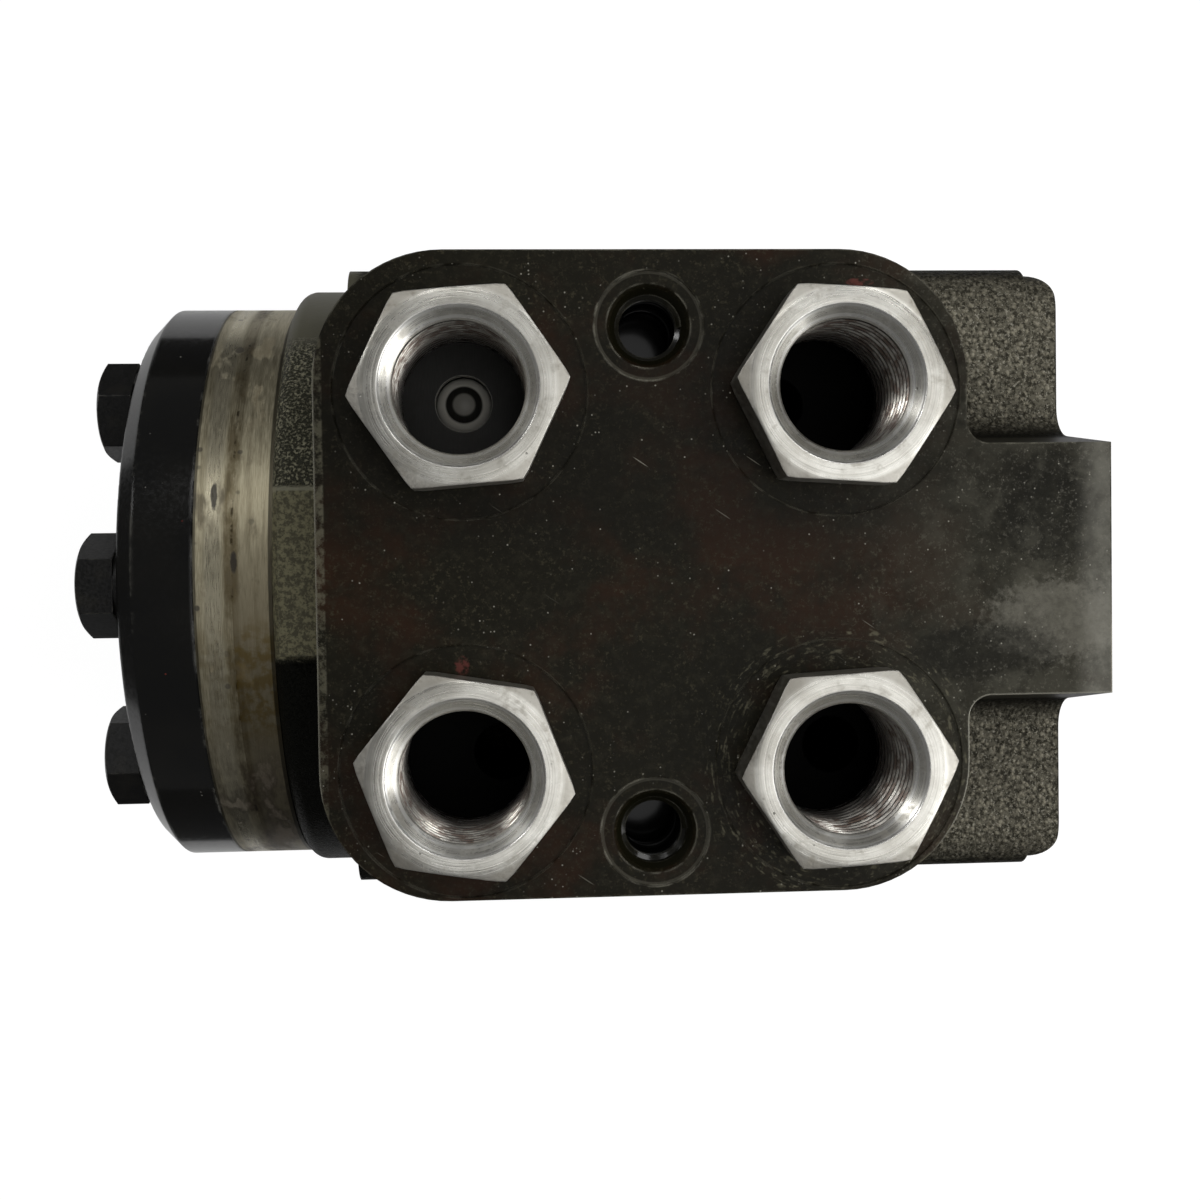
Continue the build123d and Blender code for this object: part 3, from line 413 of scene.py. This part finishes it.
    rough = f.rise(fine, 0.3, 0.7, 0.32, 0.46) + 0.12 * tail
    rough = rough * port + (1 - port) * (0.42 + 0.14 * shoulder) + 0.1 * deep_shade - 0.1 * faced - 0.2 * mouth
    skin = (0.26 * grain - 0.2 * f.rise(lumps, 0.1, 0.6)) * shoulder * (1 - deep_shade) * (1 - faced)
    height = port * (0.01 * fine + 0.012 * mottle) + (1 - port) * (0.03 * fine + skin)
    height = height + 0.02 * faced * sweep + flange * (1 - land) * (1 - top_smooth) * 0.3 * flecks
    wet = holes * (1 - port) * f.rise(f.z, 20, 24) * 0.45
    return f.surface(colour, rough, height, coat=wet, Coat_Roughness=0.12, Specular_IOR_Level=0.1)


def ground_steel():
    """Ground rims of the gear ring and the distributor plate, with oil stains in bands round them."""
    f = Finish("ground_steel")
    rim_place = f.stretch(1.0, 0.05, 0.05)
    lines = f.noise(9.0, 3.0, 0.6, place=rim_place)
    bands = f.noise(1.3, 2.0, 0.5, place=rim_place, shift=17)
    blotch = f.noise(0.12, 5.0, 0.65, place=f.stretch(2.2, 1.0, 1.0), shift=3)
    drops = f.noise(0.5, 3.0, 0.6, shift=55)
    plate = f.x > ring_face
    colour = f.mix(f.rise(lines, 0.3, 0.7), paint("9a927a"), paint("c1b99f"))
    # the plate darker from its top down
    colour = f.mix(plate * f.rise(f.y, 16, -6) * 0.75, colour, paint("7d745f"))
    colour = f.mix(f.rise(bands, 0.5, 0.7) * 0.35, colour, paint("6f6650"))
    # a smoother band round the middle of the gear ring; its lighter colour is partly a painted highlight
    rubbed = f.band(f.x, ring_face - 3.3, ring_face - 1.9, 0.9)
    colour = f.mix(rubbed * 0.45, colour, paint("cfc8b0"))
    joint = f.band(f.x, ring_face - 0.7, ring_face + 0.5, 0.7)
    colour = f.mix(joint * (0.3 + 0.5 * f.rise(blotch, 0.38, 0.6)), colour, paint("5a4e34"))
    crack = f.band(f.x, ring_face - 0.1, ring_face + 0.1, 0.15)
    colour = f.mix(crack * f.rise(drops, 0.5, 0.62) * 0.8, colour, paint("2a2114"))
    stain = f.rise(blotch, 0.52, 0.66)
    colour = f.mix(stain * 0.6, colour, paint("54492f"))
    yellow = f.band(f.y, -18, -9, 6) * f.rise(drops, 0.38, 0.6)
    colour = f.mix(yellow * (0.3 + 0.4 * plate), colour, paint("6d5a2c"))
    violet = f.rise(f.y, -18, -30) * f.rise(blotch, 0.4, 0.6)
    colour = f.mix(violet * 0.6, colour, paint("4c4440"))
    spots = f.specks(0.55, 0.3, 0.16, shift=8) + sum(f.blot(*mark) for mark in oil_marks)
    colour = f.mix(spots * 0.85, colour, paint("1d1710"))
    seam = f.band(f.x, gear_face - 0.45, gear_face + 1, 0.15)
    colour = f.mix(seam * 0.75, colour, paint("15140f"))
    cover_seam = f.band(f.x, cover_face - 1, cover_face + 0.25, 0.15)
    colour = f.mix(cover_seam * 0.7, colour, paint("1a1914"))
    rough = f.rise(lines, 0.3, 0.7, 0.36, 0.48) + 0.15 * stain - 0.12 * rubbed
    height = 0.006 * lines + 0.004 * bands - 0.01 * spots
    return f.surface(colour, rough, height, metallic=1 - 0.75 * f.rise(stain + spots, 0, 1))


def gloss_black():
    """Oily gloss black paint of the end cover, chipped along its rims."""
    f = Finish("gloss_black")
    waves = f.noise(0.09, 2.0, 0.5)
    fine = f.noise(1.6, 3.0, 0.6, shift=4)
    colour = f.mix(f.rise(waves, 0.35, 0.65), paint("070706"), paint("0e0d0a"))
    dots = f.specks(0.9, 0.14, 0.05, shift=2)
    red = f.specks(0.7, 0.12, 0.02, shift=31)
    colour = f.mix(dots, colour, paint("a8a69c"))
    colour = f.mix(red, colour, paint("6a2a20"))
    worn = f.edge(0.8) * f.rise(f.noise(0.2, 4.0, 0.6, shift=13), 0.5, 0.66)
    colour = f.mix(worn * 0.6, colour, paint("8f8d84"))
    rough = f.rise(fine, 0.3, 0.75, 0.09, 0.2) + 0.25 * dots
    height = 0.02 * waves + 0.004 * fine
    return f.surface(colour, rough, height, coat=0.2, Coat_Roughness=0.06, Specular_IOR_Level=0.4)


def black_oxide():
    """Blackened screws and washers with bright rubbed corners."""
    f = Finish("black_oxide")
    fine = f.noise(2.2, 4.0, 0.6)
    film = f.noise(0.3, 3.0, 0.5, shift=6)
    colour = f.mix(f.rise(fine, 0.35, 0.7), paint("080807"), paint("121110"))
    colour = f.mix(f.rise(film, 0.5, 0.75) * 0.5, colour, paint("211f19"))
    worn = f.edge(0.3) * f.rise(f.noise(0.7, 3.0, 0.6, shift=3), 0.46, 0.62)
    colour = f.mix(worn * 0.6, colour, paint("6c6a61"))
    return f.surface(colour, f.rise(fine, 0.3, 0.7, 0.28, 0.44), 0.02 * fine, Specular_IOR_Level=0.35)


def turned_steel():
    """Bright turned adapters: rings left by the tool on the face, sawn flats, oil and painted shade in the
    bore.
    """
    f = Finish("turned_steel")
    middle = f.node("ShaderNodeAttribute", {"attribute_name": "from_axis"}, out="Vector")
    u, v, w = f.axes(middle)
    radius = (u ** 2.0 + v ** 2.0) ** 0.5
    clouds = f.noise(0.16, 4.0, 0.6, shift=14)
    smear = f.noise(0.5, 4.0, 0.65, shift=22)
    rings = f.noise(7.0, 2.0, 0.6, place=f.xyz(radius, 0.02 * u, w))
    wide_rings = f.noise(1.6, 2.0, 0.5, place=f.xyz(radius, 0.03 * v, 0.0))
    top = f.rise(w, head_top - 0.2, head_top - 0.05)
    inside = f.rise(radius, mouth_r + 0.1, mouth_r - 0.1)
    flats = (1 - top) * (1 - inside)
    colour = f.mix(f.rise(clouds, 0.35, 0.68), paint("c3c0b7"), paint("e4e2da"))
    colour = f.mix(f.rise(rings, 0.56, 0.72) * 0.5 * top, colour, paint("8f8c82"))
    colour = f.mix(f.rise(wide_rings, 0.52, 0.66) * 0.3 * top, colour, paint("a09d93"))
    colour = f.mix(f.rise(smear, 0.56, 0.7) * 0.4, colour, paint("8a8374"))
    # adapter p darker over its top face
    p_top_darker = f.rise(f.reach(*port_centres["p"]), 16, 18, 1.0, 0.0) * top
    colour = f.mix(p_top_darker * 0.28, colour, paint("7f7d75"))
    colour = f.mix(flats * 0.45, colour, paint("837c6f"))
    low = f.rise(w, 59, 47)
    oily = inside * f.rise(w, thread_mouth + 0.3, thread_mouth - 0.7)
    colour = f.mix(oily * f.rise(smear, 0.42, 0.6, 0.2, 0.85), colour, paint("5c463c"))
    # painted shade deep in the bore
    colour = f.mix(inside * low, colour, paint("2a2620"))
    nicks = f.specks(0.8, 0.16, 0.16, shift=41)
    colour = f.mix(nicks * 0.8, colour, paint("3c3831"))
    # painted highlights: bright thin rings on the lip of the bore and the mouth of the thread
    lip_highlights = f.band(radius, mouth_r - 0.18, mouth_r + 0.1, 0.12)
    lip_highlights = lip_highlights + f.band(radius, 8.5, 8.75, 0.1) * f.rise(w, thread_mouth, thread_mouth + 0.2)
    colour = f.mix(lip_highlights * 0.7, colour, paint("efeeea"))
    worn = f.edge(0.25) * f.rise(smear, 0.42, 0.55)
    colour = f.mix(worn * 0.55, colour, paint("efeeea"))
    saw = f.noise(3.2, 3.0, 0.6, place=f.stretch(1, 1, 0.1), shift=2)
    rough = f.rise(rings, 0.3, 0.7, 0.24, 0.36) * (1 - flats) + flats * f.rise(saw, 0.3, 0.7, 0.36, 0.5)
    rough = rough + 0.12 * f.rise(smear, 0.5, 0.7)
    height = top * (0.022 * rings + 0.02 * wide_rings) + flats * 0.03 * saw - 0.02 * nicks
    return f.surface(colour, rough, height, metallic=1 - 0.5 * f.rise(nicks + inside * low, 0, 1))


def hardened_steel():
    """Ground and hardened inner parts, wet with oil. The parts high in the port are darkened nearly black,
    and the ball carries painted highlights in rings.
    """
    f = Finish("hardened_steel")
    lines = f.noise(6.0, 3.0, 0.6, place=f.stretch(1.0, 0.08, 0.08))
    film = f.noise(0.2, 4.0, 0.6, shift=3)
    colour = f.mix(f.rise(lines, 0.3, 0.7), paint("96928a"), paint("b8b5ad"))
    colour = f.mix(f.rise(film, 0.45, 0.7) * 0.5, colour, paint("6e6552"))
    high_in_port = f.rise(f.z, 26, 30)
    away = f.reach(*port_centres["p"])
    # the parts high in the port darkened nearly black
    colour = f.mix(high_in_port * 0.95, colour, paint("0d0c0a"))
    # painted highlights on the ball: a light ring and a fainter disc in its middle
    rings = f.band(away, 2.7, 3.6, 0.35) + 0.35 * f.rise(away, 1.3, 1.7, 1.0, 0.0)
    colour = f.mix(high_in_port * rings, colour, paint("e2dfd4"))
    rough = f.rise(lines, 0.3, 0.7, 0.2, 0.34) + 0.15 * high_in_port
    return f.surface(colour, rough, 0.004 * lines, metallic=1 - 0.9 * high_in_port, Specular_IOR_Level=0.2)


def seal_rubber():
    """Black nitrile rubber with a dull bloom."""
    f = Finish("seal_rubber")
    bloom = f.noise(0.8, 4.0, 0.6)
    grain = f.noise(5.0, 2.0, 0.6, shift=7)
    colour = f.mix(f.rise(bloom, 0.4, 0.7), paint("121212"), paint("232322"))
    return f.surface(colour, f.rise(bloom, 0.3, 0.7, 0.5, 0.66), 0.01 * grain)


finishes = {
    "black_casting": black_casting(),
    "gloss_black": gloss_black(),
    "black_steel": black_oxide(),
    "ground_steel": ground_steel(),
    "turned_steel": turned_steel(),
    "hardened_steel": hardened_steel(),
    "seal_rubber": seal_rubber(),
}
for part in frame["record"]["subparts"]:
    for slot in frame["nodes"][part["node"]].material_slots:
        slot.material = finishes[part["material_slot"]]


# ---------------------------------------------------------------- mesh helpers
def smooth(mesh, angle=30):
    mesh.shade_smooth()
    mesh.set_sharp_from_angle(angle=radians(angle))


def piece(name, mesh, slot, *nodes, body="root"):
    """Adds a finished mesh as a piece that stands for CAD nodes and moves with a body."""
    made = bpy.data.objects.new(name, mesh)
    bpy.context.scene.collection.objects.link(made)
    mesh.materials.clear()
    mesh.materials.append(finishes[slot])
    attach(made, body)
    if nodes:
        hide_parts(*nodes)


# ---------------------------------------------------------------- port adapters
def hex_radius(angle, half_flats):
    """Distance from the axis to a hexagon's side, its corners taken off a little."""
    swing = (angle + pi / 6) % (pi / 3) - pi / 6
    return min(half_flats / cos(pi / 6 - abs(swing)), corner_r)


def adapter_mesh(name, centre, turn):
    """A closed hex adapter: rings of points from its foot, over the head and down the thread."""
    angles = [2 * pi * i / adapter_sides for i in range(adapter_sides)]
    hexagon = [hex_radius(angle, head_half_flats) for angle in angles]
    fall = tan(radians(corner_slope))

    def level(radius, height):
        return [(radius, height)] * adapter_sides

    rings = [
        level(thread_crest_r, adapter_foot),
        level(shank_r - tip_chamfer, adapter_foot),
        level(shank_r, adapter_foot + tip_chamfer),
        level(shank_r, seal_room_top),
        level(seal_room_r, seal_room_top),
        level(seal_room_r, head_foot),
        [(r - foot_chamfer, head_foot) for r in hexagon],
        [(r, head_foot + foot_chamfer) for r in hexagon],
        [(r, head_top - max(0.0, r - turned_face_r) * fall) for r in hexagon],
        [(r - rim_width, head_top - max(0.0, r - rim_width - turned_face_r) * fall) for r in hexagon],
        level(turned_face_r, head_top),
        level(mouth_r + mouth_break[0], head_top),
        level(mouth_r, head_top - mouth_break[1]),
    ]
    rows = []
    turns = int((thread_mouth - adapter_foot) / thread_pitch) + 2
    for turn_index in range(turns):
        for share, depth in thread_form:
            rows.append((turn_index + share, depth))
    for down, depth in rows:
        ring = []
        for angle in angles:
            height = thread_mouth - (down - 1 + angle / (2 * pi)) * thread_pitch
            height = min(max(height, adapter_foot), thread_mouth)
            fade = max(0.0, min(1.0, (thread_mouth - height) / thread_run_out, height - adapter_foot))
            ring.append((thread_crest_r + (thread_root_r - thread_crest_r) * depth * fade, height))
        rings.append(ring)

    shape = bmesh.new()
    from_axis = shape.verts.layers.float_vector.new("from_axis")
    lines = []
    for ring in rings:
        line = []
        for angle, (radius, height) in zip(angles, ring):
            at = Vector((radius * cos(angle + turn), radius * sin(angle + turn), height))
            vert = shape.verts.new(((at.x + centre[0]) * MM, (at.y + centre[1]) * MM, at.z * MM))
            vert[from_axis] = at
            line.append(vert)
        lines.append(line)
    thread_start = len(rings) - len(rows)
    wrap = len(thread_form)
    for k in range(len(lines) - 1):
        for i in range(adapter_sides):
            low, high = lines[k], lines[k + 1]
            if i < adapter_sides - 1 or k < thread_start:
                j = (i + 1) % adapter_sides
                corners = [low[i], low[j], high[j], high[i]]
            elif k + 1 + wrap < len(lines):
                # one turn on, the thread meets the line it started from
                corners = [low[i], lines[k + wrap][0], lines[k + 1 + wrap][0], high[i]]
            else:
                continue
            if len(set(corners)) == 4:
                shape.faces.new(corners)
    bmesh.ops.remove_doubles(shape, verts=shape.verts, dist=1e-7)
    bmesh.ops.recalc_face_normals(shape, faces=shape.faces)
    mesh = bpy.data.meshes.new(name)
    shape.to_mesh(mesh)
    shape.free()
    smooth(mesh, 28)
    return mesh


for port, centre in port_centres.items():
    name = "adapter_" + port
    mesh = adapter_mesh(name, centre, radians(hex_turn[port]))
    piece(name, mesh, "turned_steel", "port_adapter_" + port)


# ---------------------------------------------------------------- what repeats: screws and threads
class Recipe(Net):
    """A Geometry Nodes tree with named sizes, ending in real geometry with one finish."""

    def __init__(self, name, sizes):
        super().__init__(bpy.data.node_groups.new(name, "GeometryNodeTree"))
        self.name = name
        face = self.tree.interface
        face.new_socket("Geometry", in_out="INPUT", socket_type="NodeSocketGeometry")
        for size, default in sizes.items():
            made = face.new_socket(size, in_out="INPUT", socket_type="NodeSocketFloat")
            made.default_value = default
        face.new_socket("Geometry", in_out="OUTPUT", socket_type="NodeSocketGeometry")
        entry = self.tree.nodes.new("NodeGroupInput")
        self.given = {socket.name: Value(self, socket) for socket in entry.outputs if socket.name}

    def finish(self, shapes, slot):
        real = self.node("GeometryNodeRealizeInstances", None, {0: shapes})
        done = self.node("GeometryNodeSetMaterial", None, {"Geometry": real, "Material": finishes[slot]})
        end = self.tree.nodes.new("NodeGroupOutput")
        self.tree.links.new(done.socket, end.inputs[0])

    def on_points(self, shape):
        stand = self.node(
            "GeometryNodeInputNamedAttribute", {"data_type": "FLOAT_VECTOR"}, {"Name": "stand"}, "Attribute"
        )
        sockets = {"Points": self.given["Geometry"], "Instance": shape, "Rotation": stand}
        return self.node("GeometryNodeInstanceOnPoints", None, sockets)

    def make(self, name, places, **sizes):
        """Runs the tree on points, each a place in millimetres and a turn, and gives a plain mesh."""
        cloud = bpy.data.meshes.new(name + "_points")
        cloud.from_pydata([[c * MM for c in at] for at, _ in places], [], [])
        stand = cloud.attributes.new("stand", "FLOAT_VECTOR", "POINT")
        for item, (_, turn) in zip(stand.data, places):
            item.vector = turn
        carrier = bpy.data.objects.new(name + "_points", cloud)
        bpy.context.scene.collection.objects.link(carrier)
        modifier = carrier.modifiers.new(self.name, "NODES")
        modifier.node_group = self.tree
        for socket in self.tree.interface.items_tree:
            key = socket.name.lower().replace(" ", "_")
            if socket.in_out == "INPUT" and key in sizes:
                modifier[socket.identifier] = float(sizes[key])
        depsgraph = bpy.context.evaluated_depsgraph_get()
        mesh = bpy.data.meshes.new_from_object(carrier.evaluated_get(depsgraph), depsgraph=depsgraph)
        carrier.modifiers.remove(modifier)
        bpy.data.objects.remove(carrier)
        mesh.name = name
        for attribute in [a.name for a in mesh.attributes if a.name == "stand"]:
            mesh.attributes.remove(mesh.attributes[attribute])
        return mesh


def hex_screw_recipe():
    """A hex screw whose own Z runs from its seat to its tip, in metres: crowned head, core and thread."""
    sizes = {
        "Across Flats": 0.013,
        "Head Height": 0.0053,
        "Crown Radius": 0.006,
        "Crown Spread": 0.0114,
        "Thread Radius": 0.00395,
        "Root Radius": 0.0034,
        "Pitch": 0.00125,
        "Length": 0.0366,
        "Tip Radius": 0.0,
        "Tip Length": 0.0,
    }
    r = Recipe("hex_screw", sizes)
    g = r.given
    overlap = 0.00005           # by which the core and the tip reach into their neighbours
    high = g["Head Height"]
    hexagon = r.node(
        "GeometryNodeMeshCylinder", None,
        {"Vertices": 6, "Radius": g["Across Flats"] * (0.5 / cos(pi / 6)), "Depth": high},
    )
    hexagon = r.node("GeometryNodeTransform", None, {0: hexagon, "Translation": r.xyz(0, 0, high * -0.5)})
    crown = r.node(
        "GeometryNodeMeshCone", None,
        {
            "Vertices": 60,
            "Radius Top": g["Crown Radius"],
            "Radius Bottom": g["Crown Radius"] + g["Crown Spread"],
            "Depth": high,
        },
    )
    crown = r.node("GeometryNodeTransform", None, {0: crown, "Rotation": (pi, 0, 0)})
    head = r.node(
        "GeometryNodeMeshBoolean", {"operation": "INTERSECT", "solver": "EXACT"}, {"Mesh 2": [hexagon, crown]}
    )
    core = r.node(
        "GeometryNodeMeshCylinder", None, {"Vertices": 24, "Radius": g["Root Radius"], "Depth": g["Length"]}
    )
    core_z = g["Length"] * 0.5 - overlap
    core = r.node("GeometryNodeTransform", None, {0: core, "Translation": r.xyz(0, 0, core_z)})
    tip = r.node(
        "GeometryNodeMeshCylinder", None,
        {"Vertices": 24, "Radius": g["Tip Radius"], "Depth": g["Tip Length"]},
    )
    tip_z = g["Length"] + g["Tip Length"] * 0.5 - 2 * overlap
    tip = r.node("GeometryNodeTransform", None, {0: tip, "Translation": r.xyz(0, 0, tip_z)})
    turns = g["Length"] * 0.5 / g["Pitch"]
    helix = r.node(
        "GeometryNodeCurveSpiral", None,
        {
            "Resolution": 24,
            "Rotations": turns,
            "Start Radius": g["Root Radius"],
            "End Radius": g["Root Radius"],
            "Height": g["Length"] * 0.5,
            "Reverse": False,
        },
    )
    form = r.node("GeometryNodeCurvePrimitiveCircle", None, {"Resolution": 3, "Radius": g["Pitch"] * 0.42})
    ridge = r.node("GeometryNodeCurveToMesh", None, {0: helix, 1: form, "Fill Caps": True})
    ridge = r.node(
        "GeometryNodeTransform", None, {0: ridge, "Translation": r.xyz(0, 0, g["Length"] * 0.5 - g["Pitch"])}
    )
    screw = r.node("GeometryNodeJoinGeometry", None, {0: [head, core, tip, ridge]})
    r.finish(r.on_points(screw), "black_steel")
    return r


def tapped_thread_recipe():
    """Ridges of a thread in a drilled hole that runs along the point's own Z from its mouth."""
    sizes = {"Radius": 0.00425, "Pitch": 0.0015, "Depth": 0.012, "Ridge": 0.0006}
    r = Recipe("tapped_thread", sizes)
    g = r.given
    helix = r.node(
        "GeometryNodeCurveSpiral", None,
        {
            "Resolution": 36,
            "Rotations": g["Depth"] / g["Pitch"],
            "Start Radius": g["Radius"],
            "End Radius": g["Radius"],
            "Height": g["Depth"],
            "Reverse": False,
        },
    )
    form = r.node("GeometryNodeCurvePrimitiveCircle", None, {"Resolution": 4, "Radius": g["Ridge"]})
    ridge = r.node("GeometryNodeCurveToMesh", None, {0: helix, 1: form, "Fill Caps": True})
    r.finish(r.on_points(ridge), "black_casting")
    return r


def screw_place(step):
    """Seat of one cover screw, and its turn: its own Z along the shaft, its X as tightened."""
    angle = radians(step * screw_step)
    out = Vector((0, -sin(angle), cos(angle)))
    along = Vector((1, 0, 0))
    side = Matrix.Rotation(radians(head_turn[step]), 3, along) @ out
    turn = Matrix((side, along.cross(side), along)).transposed().to_euler()
    return (head_seat, out.y * screw_circle_r, out.z * screw_circle_r), tuple(turn)


hex_screw = hex_screw_recipe()
plain_steps = [step for step in range(len(head_turn)) if step != pin_screw_step]
length = (screw_tip - head_seat) * MM
mesh = hex_screw.make("hex_screws", [screw_place(step) for step in plain_steps], length=length)
smooth(mesh)
piece("hex_screws", mesh, "black_steel", "cover_screws")
pin = {"tip_radius": 0.002, "tip_length": 0.004}
mesh = hex_screw.make("ball_pin_screw", [screw_place(pin_screw_step)], length=length, **pin)
smooth(mesh)
piece("ball_pin_screw", mesh, "black_steel", "pin_screw")

tapped_thread = tapped_thread_recipe()
down = tuple(Euler((pi, 0, 0)))
inward = tuple(Matrix(((0, 0, -1), (0, 1, 0), (1, 0, 0))).to_euler())
start = shaft_to_port_face - valve_thread_start
mesh = tapped_thread.make("valve_hole_threads", [((x, y, start), down) for x, y in valve_holes])
smooth(mesh)
piece("valve_hole_threads", mesh, "black_casting")
sides = (-column_hole_half, column_hole_half)
places = [((-column_thread_start, y, z), inward) for y in sides for z in sides]
mesh = tapped_thread.make("column_hole_threads", places)
smooth(mesh)
piece("column_hole_threads", mesh, "black_casting")


# ---------------------------------------------------------------- floor, lights and camera
white = (1, 1, 1, 1)
floor_half = 2500
floor_shade = 0.85
floor_glow = 1.12
camera_share = 0.85
sheet_length = (-300, 260)      # polished parts reflect the floor as white only inside this sheet
sheet_width = (-100, 155)
bench_glow = 0.05
air_light = 0.13
lamp_target = (-66, 0, 20)
lamps = [
    # name, direction, distance, size, brightness
    ("overhead", (0.38, -0.12, 1), 900, (760, 860), 1.05),
    ("key", (-0.08, 0.56, 0.82), 1100, (240, 300), 3.8),
    ("fill", (0.5, 0.6, 0.65), 1100, (400, 300), 4.5),
    ("column_side", (0.85, -0.3, 0.5), 1000, (700, 600), 3.0),
    ("cover_side", (-0.63, 0.46, 0.57), 1000, (140, 320), 10.0),
]
camera_lens = 42.445
camera_place = (-77.4454, 2.0388, 238.6454)
camera_tilt = (("X", -0.0252), ("Y", -0.0597), ("Z", -0.0158))      # radians, in this order


def white_for_camera(finish):
    """A pale floor, lifted to the backdrop's white where the camera or a reflection near the unit sees it."""
    sight = finish.node("ShaderNodeLightPath", out="Is Camera Ray")
    mirrored = finish.node("ShaderNodeLightPath", out="Is Glossy Ray")
    sheet = finish.band(finish.y, *sheet_width, 6) * finish.band(finish.x, *sheet_length, 20)
    matt = finish.node("ShaderNodeBsdfDiffuse", None, {"Color": (floor_shade, floor_shade, floor_shade, 1)})
    glow = finish.node("ShaderNodeEmission", None, {"Color": white, "Strength": floor_glow})
    lit = finish.node("ShaderNodeMixShader", None, {0: sight * camera_share, 1: matt, 2: glow})
    bench = finish.node("ShaderNodeEmission", None, {"Color": white, "Strength": bench_glow})
    finish.end(finish.node("ShaderNodeMixShader", None, {0: mirrored * (1 - sheet), 1: lit, 2: bench}))
    return finish.material


def softbox(name, direction, distance, size, brightness):
    """A rectangular lamp that faces the middle of the unit."""
    lamp = bpy.data.lights.new(name, "AREA")
    lamp.shape = "RECTANGLE"
    lamp.size, lamp.size_y = [s * MM for s in size]
    lamp.energy = brightness * lamp.size * lamp.size_y * pi
    stand = bpy.data.objects.new(name, lamp)
    bpy.context.scene.collection.objects.link(stand)
    ray = Vector(direction).normalized()
    stand.location = Vector(lamp_target) * MM + ray * distance * MM
    stand.rotation_euler = ray.to_track_quat("Z", "Y").to_euler()


floor_mesh = bpy.data.meshes.new("floor")
reach = floor_half * MM
floor_corners = [(-reach, -reach), (reach, -reach), (reach, reach), (-reach, reach)]
floor_mesh.from_pydata([(x, y, -back_height * MM) for x, y in floor_corners], [], [(0, 1, 2, 3)])
floor = bpy.data.objects.new("floor", floor_mesh)
bpy.context.scene.collection.objects.link(floor)
floor_mesh.materials.append(white_for_camera(Finish("floor_white")))

world = bpy.data.worlds.new("studio")
bpy.context.scene.world = world
world.use_nodes = True
world.node_tree.nodes.clear()
air = Net(world.node_tree)
sight = air.node("ShaderNodeLightPath", out="Is Camera Ray")
dim = air.node("ShaderNodeBackground", None, {"Color": white, "Strength": air_light})
bright = air.node("ShaderNodeBackground", None, {"Color": white, "Strength": 1.0})
seen = air.node("ShaderNodeMixShader", None, {0: sight, 1: dim, 2: bright})
world_end = world.node_tree.nodes.new("ShaderNodeOutputWorld")
world.node_tree.links.new(seen.socket, world_end.inputs["Surface"])

for lamp in lamps:
    softbox(*lamp)

camera = bpy.data.cameras.new("camera")
camera.sensor_width = 36.0
camera.lens = camera_lens
camera.clip_start = 0.01
camera.clip_end = 20.0
view = bpy.data.objects.new("camera", camera)
bpy.context.scene.collection.objects.link(view)
stance = Matrix.Translation(Vector(camera_place) * MM)
for axis, angle in camera_tilt:
    stance = stance @ Matrix.Rotation(angle, 4, axis)
view.matrix_world = stance
bpy.context.scene.camera = view
bpy.context.scene.view_settings.view_transform = "Standard"
